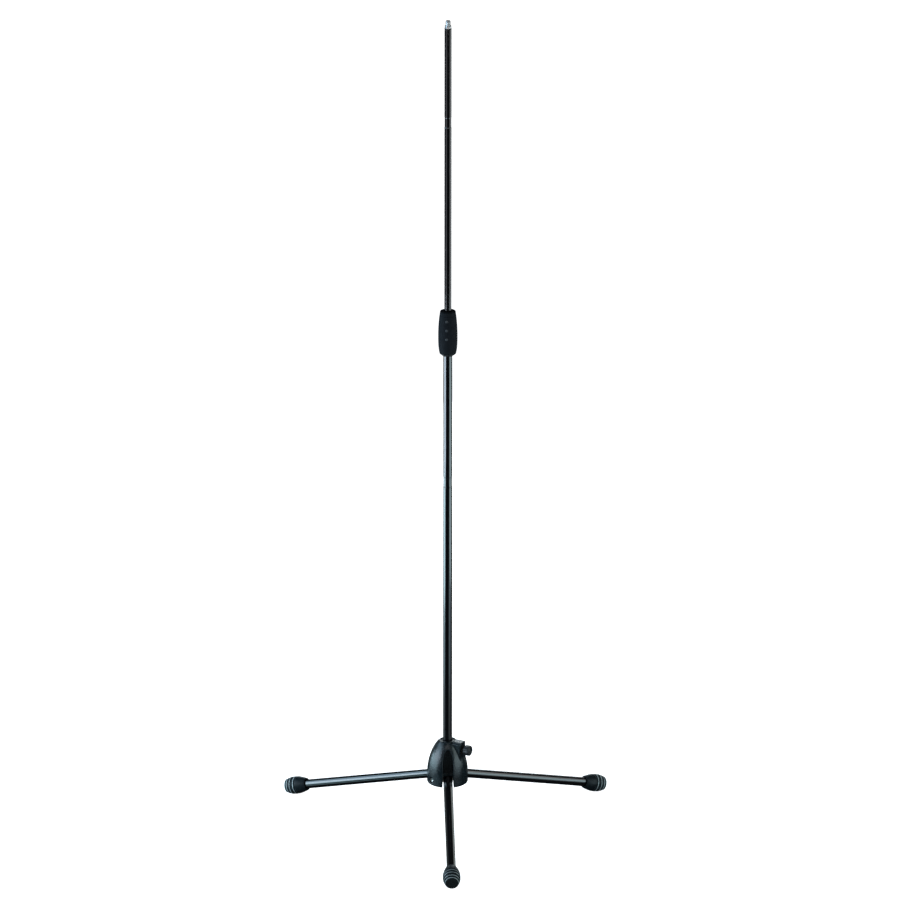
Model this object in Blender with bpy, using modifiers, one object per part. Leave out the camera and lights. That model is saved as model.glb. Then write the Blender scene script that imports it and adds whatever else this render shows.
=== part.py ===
"""Straight telescopic microphone stand with a folding tripod base.

Metres, +Z up. The origin is on the floor, at the centre of the rectangle that the stand fills.
The front leg points along -Y, and the tall tube stands on the mast axis, a little towards +Y.
Three tube legs fold down about pivot screws in a dome-shaped housing, the mast slides and turns in
the housing under a clamp knob, and the upper tube slides and turns in a barrel-shaped clutch.
"""

import math

import bmesh
import bpy
from mathutils import Matrix

# Gaps between pieces
FIT = 0.0003                   # between pieces that touch, slide or turn on each other
HEEL_CLEARANCE = 0.0008        # from a leg's heel to the stop ring that passes it

# Legs: round tubes that slope down from the housing
LEG_NAMES = ("front", "right", "left")
LEG_SLOPE = math.radians(15)
LEG_TUBE_RADIUS = 0.009
LEG_TUBE_WALL = 0.001
LEG_TUBE_LENGTH = 0.3385
LEG_TUBE_START = 0.009         # from the pivot to the tube's inner end, along the leg
HEEL_RADIUS = 0.0044           # rounded end of the lug, about the pivot
LUG_FLAT = 0.0006              # depth of the flat on each side of the lug
LUG_PLUG_LENGTH = 0.030        # how far the lug reaches into the tube
LUG_SLANT_BACK = 0.0013        # slanted top corner of the lug, behind the pivot
LUG_SLANT_DROP = 0.0010
WASHER_RADIUS = 0.006
WASHER_THICKNESS = 0.0015

# Feet: rubber caps, ribbed near the floor end
FOOT_LENGTH = 0.0465
FOOT_RADIUS = 0.0175
FOOT_END_RADIUS = 0.0134
FOOT_MOUTH_WALL = 0.0027
FOOT_NOSE_LENGTH = 0.018       # from the end face to the full radius
FOOT_TAPER_LENGTH = 0.0225     # from the full radius to the mouth
FOOT_TAPER_CURVE = 1.5         # 1 would be a straight cone
FOOT_END_WALL = 0.006
FOOT_FLAT = 0.0008             # how deep the flat is that the foot stands on
FOOT_GROOVES = 3
FOOT_GROOVE_START = 0.0054
FOOT_GROOVE_PITCH = 0.0056
FOOT_GROOVE_WIDTH = 0.0022
FOOT_GROOVE_DEPTH = 0.0011

# Pivot screws
SCREW_RADIUS = 0.0025
SCREW_HEAD_RADIUS = 0.0043
SCREW_HEAD_HEIGHT = 0.0035
SCREW_HEAD_CHAMFER = 0.0009
SCREW_HEAD_RECESS = 0.0028     # from the housing's surface down to the top of the head
NUT_RADIUS = 0.0046            # over the corners
NUT_THICKNESS = 0.0045
SCREW_TIP_LENGTH = 0.0012      # thread that shows past the nut

# Housing: a moulded dome on a short straight skirt
HOUSING_RADIUS = 0.0402
HOUSING_BELOW_PIVOT = 0.0110
SKIRT_HEIGHT = 0.0203
SKIRT_FILLET = 0.0035
DOME_RISE = 0.0764             # height of the whole dome above the skirt
DOME_FULLNESS = 1.85           # 2 would be an ellipse, 1 a cone
RIM_RADIUS = 0.0172            # where the dome is cut off at the top
RIM_STEP_DEPTH = 0.0040        # recess round the mast that holds the liner's flange
CORE_WALL = 0.008              # from the mast's bore to the back of a leg slot
CHEEK_WALL = 0.005             # beside a slot, where the pivot screw passes
POCKET_SHELL = 0.0107          # outer wall beside a cored pocket, where the screw heads seat
POCKET_DEPTH = 0.0316
WEB_THICKNESS = 0.005          # web across a slot, which an open leg bears on
WEB_REACH = 0.010              # how far the web stands out of the core
SLOT_FLARE = 0.0025            # how much wider each side of a slot is at the bottom
SLOT_FLARE_HEIGHT = 0.016
SLOT_SHOULDER_BELOW_RIM = 0.037
SLOT_POINT_BELOW_RIM = 0.0125
ARCH_CURVE = 1.6               # 2 would be a round arch

# Liner between the housing and the mast
LINER_WALL = 0.0024
LINER_FLANGE_RADIUS = 0.0138
LINER_FLANGE_THICKNESS = 0.0025

# Clamp: a boss between the front and right legs, with a knob on a screw
BOSS_WIDTH = 0.023
BOSS_REACH = 0.0340
BOSS_DEPTH = 0.040
CLAMP_BELOW_RIM = 0.0147
CLAMP_SCREW_RADIUS = 0.004
CLAMP_SCREW_GRIP = 0.012       # length of the screw inside the knob
INSERT_WALL = 0.0017
INSERT_LENGTH = 0.014
PAD_RADIUS = 0.0047
PAD_LENGTH = 0.006
KNOB_STANDOFF = 0.0008
KNOB_NECK_RADIUS = 0.0062
KNOB_NECK_LENGTH = 0.0048
KNOB_RADIUS = 0.0105
KNOB_LENGTH = 0.0116
KNOB_FLUTES = 9
KNOB_FLUTE_DEPTH = 0.0011

# Mast, the lower tube
MAST_RADIUS = 0.009
MAST_WALL = 0.001
MAST_LENGTH = 0.898
MAST_BAND_START = 0.596        # from the mast's lower end to its rolled band
BAND_LENGTH = 0.022
BAND_DEPTH = 0.00035
BAND_SHOULDER = 0.0015
STOP_RING_WALL = 0.0025
STOP_RING_HEIGHT = 0.007
END_PLUG_FLANGE = 0.003
END_PLUG_SPIGOT = 0.022
END_PLUG_CHAMFER = 0.0012

# Upper tube
UPPER_RADIUS = 0.007
UPPER_WALL = 0.001
UPPER_LENGTH = 0.652
UPPER_BAND_BELOW_TOP = 0.184
GUIDE_HEAD_LENGTH = 0.016
GUIDE_SPIGOT_LENGTH = 0.022
GUIDE_GROOVE_WIDTH = 0.004
GUIDE_GROOVE_DEPTH = 0.0008

# Tip: a 3/8 inch, 16 threads to the inch stud for the microphone clip
TIP_THREAD_RADIUS = 0.00476
TIP_THREAD_LENGTH = 0.0102
TIP_THREAD_PITCH = 0.0015875
TIP_THREAD_DEPTH = 0.0009
TIP_NECK_RADIUS = 0.0048        # plain neck under the thread, clear of its crests
TIP_NECK_HEIGHT = 0.0009
TIP_SHOULDER_HEIGHT = 0.0050
TIP_SHOULDER_RADIUS = 0.0064
TIP_SPIGOT_LENGTH = 0.022

# Clutch: body on the mast's upper end, collet, thrust washer and turning grip
BODY_WALL = 0.0029             # of the socket round the mast
BODY_SOCKET_LENGTH = 0.027
BODY_COLLAR_RADIUS = 0.0162
BODY_COLLAR_HEIGHT = 0.0055
BODY_CHAMFER = 0.0042          # height of the collar's chamfered underside
BODY_TOE_RADIUS = 0.0108       # where the chamfer meets the mast
BODY_SPIGOT_LENGTH = 0.033
COLLET_LENGTH = 0.022
COLLET_INSET = 0.0004          # how much thinner the collet is than the body
COLLET_TOP_WALL = 0.0022
COLLET_TAPER_LENGTH = 0.015
COLLET_SLIT = 0.0012
COLLET_BASE_RING = 0.004
THRUST_WASHER_THICKNESS = 0.0015
GRIP_CORE_WALL = 0.0018
GRIP_CAP_RADIUS = 0.0161       # at the joint with the rubber
GRIP_CAP_TOP_RADIUS = 0.0156
GRIP_CAP_ROUNDING = 0.0014
GRIP_CAP_LENGTH = 0.007
GRIP_RADIUS = 0.0190
GRIP_TOP_RADIUS = 0.0163
GRIP_BOTTOM_RADIUS = 0.0166
GRIP_WIDEST = 0.44             # where the barrel is widest, as a share up its own length
GRIP_UPPER_CURVE = 2.1         # 1 would be a straight cone above the widest place
GRIP_LOWER_CURVE = 3           # and below it
GRIP_DOTS = 3
GRIP_DOT_PITCH = 0.0182
GRIP_DOT_RADIUS = 0.0028
GRIP_DOT_RISE = 0.0009
GRIP_DOT_BELOW_TOP = 0.0166     # from the top of the cap
GRIP_DOT_AZIMUTH = math.radians(-98)

# Faces round each kind of piece
DOME_FACES = 40
GRIP_FACES = 30
TUBE_FACES = 26
FOOT_FACES = 22
SMALL_FACES = 20

# Leg geometry. A leg's own frame has its origin on the pivot, +X out along the leg, +Z up.
PIVOT_DROP = LEG_TUBE_RADIUS - HEEL_RADIUS          # from the leg's axis down to the pivot
STOP_RING_RADIUS = MAST_RADIUS + FIT + STOP_RING_WALL
PIVOT_REACH = STOP_RING_RADIUS + HEEL_CLEARANCE + HEEL_RADIUS
LEG_TOP = PIVOT_DROP + LEG_TUBE_RADIUS
LEG_END = LEG_TUBE_START + LEG_TUBE_LENGTH + FIT + FOOT_END_WALL
LUG_HALF = LEG_TUBE_RADIUS - LUG_FLAT
SLOT_HALF = LUG_HALF + FIT + WASHER_THICKNESS + FIT
FOOT_BORE = LEG_TUBE_RADIUS + FIT
LEG_SPACING = 2 * math.pi / len(LEG_NAMES)


def foot_radius(along):
    """Radius of the plain foot at a distance from its end face."""
    mouth = FOOT_BORE + FOOT_MOUTH_WALL
    if along < FOOT_NOSE_LENGTH:
        turn = math.pi / 2 * along / FOOT_NOSE_LENGTH
        return FOOT_END_RADIUS + (FOOT_RADIUS - FOOT_END_RADIUS) * math.sin(turn)
    into_taper = along - (FOOT_LENGTH - FOOT_TAPER_LENGTH)
    if into_taper <= 0:
        return FOOT_RADIUS
    share = (into_taper / FOOT_TAPER_LENGTH) ** FOOT_TAPER_CURVE
    return FOOT_RADIUS - (FOOT_RADIUS - mouth) * share


def foot_outline():
    """Points (distance from the end face, radius) down the outside of the foot."""
    middles = [FOOT_GROOVE_START + FOOT_GROOVE_PITCH * i for i in range(FOOT_GROOVES)]
    taper_start = FOOT_LENGTH - FOOT_TAPER_LENGTH
    plain = [0.0, FOOT_GROOVE_START / 2]
    plain += [taper_start + FOOT_TAPER_LENGTH * i / 5 for i in range(6)]
    points = [(along, foot_radius(along)) for along in plain]
    for middle in middles:
        for offset, depth in ((-0.5, 0), (0, FOOT_GROOVE_DEPTH), (0.5, 0)):
            along = middle + offset * FOOT_GROOVE_WIDTH
            points.append((along, foot_radius(along) - depth))
    return sorted(points)


FOOT_OUTLINE = foot_outline()
SLOPE_SIN = math.sin(LEG_SLOPE)
SLOPE_COS = math.cos(LEG_SLOPE)
PIVOT_HEIGHT = max(
    (LEG_END - along) * SLOPE_SIN + (radius - PIVOT_DROP) * SLOPE_COS
    for along, radius in FOOT_OUTLINE
) - FOOT_FLAT


def foot_extent(bearing):
    """How far a foot reaches from the mast axis along a level line at this angle to its leg."""
    lean = SLOPE_COS * math.cos(bearing)
    start = PIVOT_REACH + PIVOT_DROP * SLOPE_SIN
    return max(
        start * math.cos(bearing) + (LEG_END - along) * lean + radius * math.sqrt(1 - lean * lean)
        for along, radius in FOOT_OUTLINE
    )


MAST_Y = (foot_extent(0) - foot_extent(LEG_SPACING / 2)) / 2

# Heights, from the floor up
HOUSING_BOTTOM = PIVOT_HEIGHT - HOUSING_BELOW_PIVOT
DOME_CENTRE = HOUSING_BOTTOM + SKIRT_HEIGHT
RIM_TURN = math.acos((RIM_RADIUS / HOUSING_RADIUS) ** (DOME_FULLNESS / 2))
RIM_HEIGHT = DOME_CENTRE + DOME_RISE * math.sin(RIM_TURN) ** (2 / DOME_FULLNESS)
CORE_BOTTOM = PIVOT_HEIGHT + (LEG_TOP + FIT) / SLOPE_COS + PIVOT_REACH * math.tan(LEG_SLOPE)
END_PLUG_TOP = CORE_BOTTOM - FIT - STOP_RING_HEIGHT - FIT
MAST_BOTTOM = END_PLUG_TOP + FIT
MAST_TOP = MAST_BOTTOM + MAST_LENGTH
BODY_SHOULDER = MAST_TOP + FIT
BODY_BOTTOM = MAST_TOP - BODY_SOCKET_LENGTH
BODY_TOP = BODY_SHOULDER + BODY_SPIGOT_LENGTH
COLLET_BOTTOM = BODY_TOP + FIT
COLLET_TOP = COLLET_BOTTOM + COLLET_LENGTH
THRUST_BOTTOM = COLLET_TOP + FIT
THRUST_TOP = THRUST_BOTTOM + THRUST_WASHER_THICKNESS
GRIP_BOTTOM = BODY_BOTTOM + BODY_COLLAR_HEIGHT + FIT
GRIP_SHOULDER = THRUST_TOP + FIT
GRIP_TOP = GRIP_SHOULDER + GRIP_CAP_LENGTH
GUIDE_TOP = BODY_SHOULDER - FIT
UPPER_BOTTOM = GUIDE_TOP + FIT
UPPER_TOP = UPPER_BOTTOM + UPPER_LENGTH
TIP_BASE = UPPER_TOP + FIT

# Radii that follow from the pieces inside
LINER_RADIUS = MAST_RADIUS + FIT + LINER_WALL
HOUSING_BORE = LINER_RADIUS + FIT
SLOT_BACK = HOUSING_BORE + CORE_WALL
BASE_CAVITY = PIVOT_REACH - HEEL_RADIUS + HEEL_CLEARANCE
BODY_RADIUS = MAST_RADIUS + FIT + BODY_WALL
BODY_BORE = UPPER_RADIUS + FIT
COLLET_RADIUS = BODY_RADIUS - COLLET_INSET
GRIP_CORE_BORE = BODY_RADIUS + FIT
GRIP_CORE_RADIUS = GRIP_CORE_BORE + GRIP_CORE_WALL
GRIP_RUBBER_BORE = GRIP_CORE_RADIUS + FIT

# Places along the clamp's axis, from the mast axis out
BOSS_AZIMUTH = -math.pi / 2 + LEG_SPACING / 2
CLAMP_HEIGHT = RIM_HEIGHT - CLAMP_BELOW_RIM
PAD_START = MAST_RADIUS + FIT
CLAMP_SCREW_START = PAD_START + PAD_LENGTH + FIT
INSERT_END = BOSS_REACH - FIT
INSERT_RADIUS = CLAMP_SCREW_RADIUS + FIT + INSERT_WALL
KNOB_START = BOSS_REACH + KNOB_STANDOFF
CLAMP_SCREW_END = KNOB_START + CLAMP_SCREW_GRIP

# Places along a pivot screw, from the leg's middle plane out
SURFACE_AT_SCREW = math.sqrt(HOUSING_RADIUS ** 2 - PIVOT_REACH ** 2)
SCREW_HEAD_TOP = SURFACE_AT_SCREW - SCREW_HEAD_RECESS
SCREW_HEAD_SEAT = SCREW_HEAD_TOP - SCREW_HEAD_HEIGHT
CHEEK_FACE = SLOT_HALF + CHEEK_WALL
SCREW_TIP = CHEEK_FACE + FIT + NUT_THICKNESS + SCREW_TIP_LENGTH

MAST_AXIS = Matrix.Translation((0, MAST_Y, 0))
OUTSIDE = 0.02                  # how far a cutter runs past the surface that it cuts
OVERLAP = 0.002                 # how far a filler runs into the piece that it joins


def clear_scene():
    for item in list(bpy.data.objects):
        bpy.data.objects.remove(item, do_unlink=True)


def new_collection(name):
    collection = bpy.data.collections.new(name)
    bpy.context.scene.collection.children.link(collection)
    return collection


clear_scene()
STAND = new_collection("microphone_stand")
CUTTERS = new_collection("cutters")


def finish(name, colour, roughness, metallic=0.0):
    """A material with one colour, roughness and metallic value."""
    made = bpy.data.materials.new(name)
    made.use_nodes = True
    shader = made.node_tree.nodes["Principled BSDF"]
    shader.inputs["Base Color"].default_value = (*colour, 1)
    shader.inputs["Roughness"].default_value = roughness
    shader.inputs["Metallic"].default_value = metallic
    made.diffuse_color = (*colour, 1)
    return made


GLOSS_BLACK = finish("gloss_black_paint", (0.012, 0.012, 0.014), 0.15)
HOUSING_BLACK = finish("satin_black_nylon", (0.030, 0.032, 0.035), 0.40)
MATT_BLACK = finish("matt_black_plastic", (0.022, 0.022, 0.024), 0.55)
RUBBER_BLACK = finish("black_rubber", (0.020, 0.020, 0.021), 0.75)
WHITE_NYLON = finish("natural_nylon", (0.70, 0.68, 0.62), 0.45)
ZINC_STEEL = finish("zinc_plated_steel", (0.62, 0.62, 0.60), 0.30, 1.0)
BRASS = finish("brass", (0.75, 0.57, 0.27), 0.30, 1.0)
CHROME = finish("chrome", (0.85, 0.86, 0.88), 0.08, 1.0)


def frame(name, matrix, parent=None):
    """An empty on a joint's axis, which the moving pieces hang on."""
    empty = bpy.data.objects.new(name, None)
    empty.empty_display_size = 0.02
    STAND.objects.link(empty)
    return place(empty, matrix, parent)


def place(item, matrix, parent=None):
    """Puts an object at a world matrix, under a parent that was placed the same way."""
    if parent:
        item.parent = parent
        item.matrix_parent_inverse = parent.matrix_basis.inverted()
    item.matrix_basis = matrix
    return item


def add(name, mesh, look, matrix, parent=None):
    """Adds a visible piece, or a cutter where it has no look."""
    piece = bpy.data.objects.new(name, mesh)
    if look:
        mesh.materials.append(look)
        STAND.objects.link(piece)
    else:
        CUTTERS.objects.link(piece)
        piece.hide_render = True
        piece.display_type = "WIRE"
    return place(piece, matrix, parent)


def turned(name, profile, look, matrix, parent=None, faces=TUBE_FACES, ring=True):
    """A turned piece from points (radius, height) that run down its outer side.

    A ring's profile closes on itself round a bore. Otherwise it starts and ends on the axis."""
    mesh = bpy.data.meshes.new(name)
    edges = [(i, i + 1) for i in range(len(profile) - 1)]
    if ring:
        edges.append((len(profile) - 1, 0))
    mesh.from_pydata([(radius, 0, height) for radius, height in profile], edges, [])
    piece = add(name, mesh, look, matrix, parent)
    screw = piece.modifiers.new("turn", "SCREW")
    screw.axis = "Z"
    screw.angle = 2 * math.pi
    screw.steps = faces
    screw.render_steps = faces
    screw.use_merge_vertices = True
    screw.merge_threshold = 1e-6
    screw.use_smooth_shade = False
    return piece


def plate(name, outlines, low, high, look, matrix, parent=None):
    """A flat plate between two heights. A second outline is a hole."""
    curve = bpy.data.curves.new(name, "CURVE")
    curve.dimensions = "2D"
    curve.fill_mode = "BOTH"
    curve.extrude = (high - low) / 2
    for outline in outlines:
        spline = curve.splines.new("POLY")
        spline.points.add(len(outline) - 1)
        for point, (x, y) in zip(spline.points, outline):
            point.co = (x, y, 0, 1)
        spline.use_cyclic_u = True
    holder = bpy.data.objects.new(name, curve)
    CUTTERS.objects.link(holder)
    graph = bpy.context.evaluated_depsgraph_get()
    mesh = bpy.data.meshes.new_from_object(holder.evaluated_get(graph))
    bpy.data.objects.remove(holder, do_unlink=True)
    shape = bmesh.new()
    shape.from_mesh(mesh)
    bmesh.ops.remove_doubles(shape, verts=shape.verts, dist=1e-6)
    bmesh.ops.translate(shape, verts=shape.verts, vec=(0, 0, (low + high) / 2))
    bmesh.ops.recalc_face_normals(shape, faces=shape.faces)
    shape.to_mesh(mesh)
    shape.free()
    mesh.name = name
    return add(name, mesh, look, matrix, parent)


def rod(name, radius, low, high, look, matrix, parent=None, faces=SMALL_FACES):
    """A solid cylinder along its own Z axis."""
    profile = [(0, high), (radius, high), (radius, low), (0, low)]
    return turned(name, profile, look, matrix, parent, faces, ring=False)


def sleeve(name, bore, radius, low, high, look, matrix, parent=None, faces=TUBE_FACES):
    """A plain round tube or ring along its own Z axis."""
    profile = [(radius, high), (radius, low), (bore, low), (bore, high)]
    return turned(name, profile, look, matrix, parent, faces)


def block(name, size, centre, matrix):
    """A box cutter or filler."""
    shape = bmesh.new()
    bmesh.ops.create_cube(shape, size=1)
    bmesh.ops.scale(shape, verts=shape.verts, vec=size)
    bmesh.ops.translate(shape, verts=shape.verts, vec=centre)
    mesh = bpy.data.meshes.new(name)
    shape.to_mesh(mesh)
    shape.free()
    return add(name, mesh, None, matrix)


def combine(piece, other, operation):
    """Cuts, joins or intersects a piece with a cutter, as a modifier."""
    boolean = piece.modifiers.new(other.name, "BOOLEAN")
    boolean.object = other
    boolean.operation = operation
    boolean.solver = "EXACT"


def circle(radius, count):
    turns = [2 * math.pi * i / count for i in range(count)]
    return [(radius * math.cos(turn), radius * math.sin(turn)) for turn in turns]


def along_x(x, z=0.0):
    """From a piece's own Z axis to the X axis of the frame it lies in."""
    return Matrix.Translation((x, 0, z)) @ Matrix.Rotation(math.pi / 2, 4, "Y")


def about_mast(azimuth):
    return MAST_AXIS @ Matrix.Rotation(azimuth, 4, "Z")


def leg_azimuth(index):
    return -math.pi / 2 + LEG_SPACING * index


def leg_frame(index):
    """A leg's frame: on the pivot, +X out along the leg, +Y along the pivot screw."""
    pivot = Matrix.Translation((PIVOT_REACH, 0, PIVOT_HEIGHT))
    return about_mast(leg_azimuth(index)) @ pivot @ Matrix.Rotation(LEG_SLOPE, 4, "Y")


def screw_frame(index):
    """A level frame on the pivot with its Z axis along the screw, towards the head."""
    pivot = Matrix.Translation((PIVOT_REACH, 0, PIVOT_HEIGHT))
    return about_mast(leg_azimuth(index)) @ pivot @ Matrix.Rotation(-math.pi / 2, 4, "X")


def clamp_frame():
    """A frame on the mast axis with its Z axis out along the clamp screw."""
    return about_mast(BOSS_AZIMUTH) @ along_x(0, CLAMP_HEIGHT)


def housing_profile():
    """Outside of the dome down to the fillet, then up the cavity and the stepped bore."""
    dome_steps = 10
    fillet_steps = 3
    points = []
    for step in range(dome_steps + 1):
        turn = RIM_TURN * (1 - step / dome_steps)
        across = math.cos(turn) ** (2 / DOME_FULLNESS)
        up = math.sin(turn) ** (2 / DOME_FULLNESS)
        points.append((HOUSING_RADIUS * across, DOME_CENTRE + DOME_RISE * up))
    for step in range(fillet_steps + 1):
        turn = math.pi / 2 * step / fillet_steps
        points.append((
            HOUSING_RADIUS - SKIRT_FILLET * (1 - math.cos(turn)),
            HOUSING_BOTTOM + SKIRT_FILLET * (1 - math.sin(turn)),
        ))
    step_bottom = RIM_HEIGHT - RIM_STEP_DEPTH
    points += [
        (BASE_CAVITY, HOUSING_BOTTOM),
        (BASE_CAVITY, CORE_BOTTOM),
        (HOUSING_BORE, CORE_BOTTOM),
        (HOUSING_BORE, step_bottom),
        (LINER_FLANGE_RADIUS + FIT, step_bottom),
        (LINER_FLANGE_RADIUS + FIT, RIM_HEIGHT),
    ]
    return points


def roof_height(reach):
    """Height of the face that an open leg bears on, at a distance from the mast axis."""
    return CORE_BOTTOM - reach * math.tan(LEG_SLOPE)


def slot_cutter(index):
    """A leg's slot: its side view, with the web above the leg, kept within a pointed arch."""
    beyond = HOUSING_RADIUS + OUTSIDE
    under = HOUSING_BOTTOM - OUTSIDE
    web_end = SLOT_BACK + WEB_REACH
    side = [
        (0, under),
        (beyond, under),
        (beyond, RIM_HEIGHT),
        (SLOT_BACK, RIM_HEIGHT),
        (SLOT_BACK, roof_height(SLOT_BACK) + WEB_THICKNESS),
        (web_end, roof_height(web_end) + WEB_THICKNESS),
        (web_end, roof_height(web_end)),
        (0, roof_height(0)),
    ]
    upright = about_mast(leg_azimuth(index)) @ Matrix.Rotation(math.pi / 2, 4, "X")
    cutter = plate(f"slot_side_{index}", [side], -HOUSING_RADIUS, HOUSING_RADIUS, None, upright)
    shoulder = RIM_HEIGHT - SLOT_SHOULDER_BELOW_RIM
    point = RIM_HEIGHT - SLOT_POINT_BELOW_RIM
    arch_steps = 4
    right = [
        (SLOT_HALF + SLOT_FLARE, under),
        (SLOT_HALF + SLOT_FLARE, HOUSING_BOTTOM),
        (SLOT_HALF, HOUSING_BOTTOM + SLOT_FLARE_HEIGHT),
    ]
    for step in range(arch_steps):
        rise = step / arch_steps
        across = SLOT_HALF * math.sqrt(1 - rise ** ARCH_CURVE)
        right.append((across, shoulder + (point - shoulder) * rise))
    left = [(-across, height) for across, height in reversed(right)]
    facing = about_mast(leg_azimuth(index)) @ Matrix.Rotation(math.pi / 2, 4, "Z")
    facing = facing @ Matrix.Rotation(math.pi / 2, 4, "X")
    arch = plate(
        f"slot_arch_{index}", [right + [(0, point)] + left], -OUTSIDE, beyond + OUTSIDE, None, facing
    )
    combine(cutter, arch, "INTERSECT")
    return cutter


def pocket_cutter(index):
    """The cored pocket between two legs, open below. Its two sides run along the slots."""
    lobe = LEG_SPACING / 2
    outer = HOUSING_RADIUS - POCKET_SHELL
    inner = CHEEK_FACE / math.sin(lobe)
    half = (outer * math.sin(lobe) - CHEEK_FACE) / math.cos(lobe)
    outline = [(inner, 0), (outer, half), (outer, -half)]
    return plate(
        f"pocket_{index}", [outline], HOUSING_BOTTOM - OUTSIDE, HOUSING_BOTTOM + POCKET_DEPTH,
        None, about_mast(leg_azimuth(index) + lobe),
    )


def make_housing():
    housing = turned("leg_housing", housing_profile(), HOUSING_BLACK, MAST_AXIS, faces=DOME_FACES)
    boss_inner = HOUSING_BORE + FIT
    boss = block(
        "boss_block",
        (BOSS_REACH - boss_inner, BOSS_WIDTH, BOSS_DEPTH),
        ((BOSS_REACH + boss_inner) / 2, 0, RIM_HEIGHT - BOSS_DEPTH / 2),
        about_mast(BOSS_AZIMUTH),
    )
    combine(housing, boss, "UNION")
    flange_room = rod(
        "flange_room", LINER_FLANGE_RADIUS + FIT, RIM_HEIGHT - RIM_STEP_DEPTH,
        RIM_HEIGHT + OUTSIDE, None, MAST_AXIS, faces=DOME_FACES,
    )
    combine(housing, flange_room, "DIFFERENCE")
    clamp = clamp_frame()
    insert_start = INSERT_END - INSERT_LENGTH - FIT
    for cutter in (
        rod("pad_hole", PAD_RADIUS + FIT, 0, insert_start + FIT, None, clamp),
        rod("insert_hole", INSERT_RADIUS + FIT, insert_start, BOSS_REACH + OUTSIDE, None, clamp),
    ):
        combine(housing, cutter, "DIFFERENCE")
    for index in range(len(LEG_NAMES)):
        across = screw_frame(index)
        head = SCREW_HEAD_SEAT - FIT
        for cutter in (
            slot_cutter(index),
            pocket_cutter(index),
            rod(f"screw_hole_{index}", SCREW_RADIUS + FIT, -CHEEK_FACE - FIT, head + FIT, None, across),
            rod(f"head_hole_{index}", SCREW_HEAD_RADIUS + FIT, head, head + OUTSIDE, None, across),
        ):
            combine(housing, cutter, "DIFFERENCE")


def make_liner():
    top = RIM_HEIGHT - RIM_STEP_DEPTH + FIT + LINER_FLANGE_THICKNESS
    under_flange = top - LINER_FLANGE_THICKNESS
    bore = MAST_RADIUS + FIT
    profile = [
        (LINER_FLANGE_RADIUS, top),
        (LINER_FLANGE_RADIUS, under_flange),
        (LINER_RADIUS, under_flange),
        (LINER_RADIUS, CORE_BOTTOM),
        (bore, CORE_BOTTOM),
        (bore, top),
    ]
    liner = turned("housing_liner", profile, MATT_BLACK, MAST_AXIS)
    window = rod("liner_window", PAD_RADIUS + FIT, 0, HOUSING_RADIUS, None, clamp_frame())
    combine(liner, window, "DIFFERENCE")


def make_clamp():
    """Insert in the boss, and the pad, screw and knob that move out along its thread."""
    axis = clamp_frame()
    sleeve(
        "clamp_insert", CLAMP_SCREW_RADIUS + FIT, INSERT_RADIUS, INSERT_END - INSERT_LENGTH,
        INSERT_END, BRASS, axis, faces=SMALL_FACES,
    )
    travel = frame("clamp_travel_axis", axis)
    turn = frame("clamp_turn_axis", axis, travel)
    rod("clamp_pad", PAD_RADIUS, PAD_START, PAD_START + PAD_LENGTH, WHITE_NYLON, axis, travel)
    rod("clamp_screw", CLAMP_SCREW_RADIUS, CLAMP_SCREW_START, CLAMP_SCREW_END, ZINC_STEEL, axis, turn)
    points_each = 6
    outline = []
    for step in range(KNOB_FLUTES * points_each):
        turned_by = 2 * math.pi * step / (KNOB_FLUTES * points_each)
        radius = KNOB_RADIUS - KNOB_FLUTE_DEPTH * (1 - math.cos(KNOB_FLUTES * turned_by)) / 2
        outline.append((radius * math.cos(turned_by), radius * math.sin(turned_by)))
    head_start = KNOB_START + KNOB_NECK_LENGTH
    knob = plate(
        "clamp_knob", [outline], head_start, head_start + KNOB_LENGTH, MATT_BLACK, axis, turn
    )
    neck = rod("knob_neck", KNOB_NECK_RADIUS, KNOB_START, head_start + FIT, None, axis)
    combine(knob, neck, "UNION")
    blind = rod(
        "knob_hole", CLAMP_SCREW_RADIUS + FIT, KNOB_START - FIT, CLAMP_SCREW_END + FIT, None, axis
    )
    combine(knob, blind, "DIFFERENCE")


def make_pivot(index, name):
    """The screw, its nut and the two friction washers of one leg. They stay with the housing."""
    across = screw_frame(index)
    profile = [
        (0, SCREW_HEAD_TOP),
        (SCREW_HEAD_RADIUS - SCREW_HEAD_CHAMFER, SCREW_HEAD_TOP),
        (SCREW_HEAD_RADIUS, SCREW_HEAD_TOP - SCREW_HEAD_CHAMFER),
        (SCREW_HEAD_RADIUS, SCREW_HEAD_SEAT),
        (SCREW_RADIUS, SCREW_HEAD_SEAT),
        (SCREW_RADIUS, -SCREW_TIP),
        (0, -SCREW_TIP),
    ]
    turned(f"pivot_screw_{name}", profile, ZINC_STEEL, across, faces=SMALL_FACES, ring=False)
    nut = [circle(NUT_RADIUS, 6), circle(SCREW_RADIUS + FIT, SMALL_FACES)]
    nut_face = -CHEEK_FACE - FIT
    plate(f"pivot_nut_{name}", nut, nut_face - NUT_THICKNESS, nut_face, ZINC_STEEL, across)
    for side, direction in (("a", 1), ("b", -1)):
        middle = direction * (LUG_HALF + FIT + WASHER_THICKNESS / 2)
        sleeve(
            f"friction_washer_{name}_{side}", SCREW_RADIUS + FIT, WASHER_RADIUS,
            middle - WASHER_THICKNESS / 2, middle + WASHER_THICKNESS / 2, WHITE_NYLON, across,
            faces=SMALL_FACES,
        )


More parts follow.
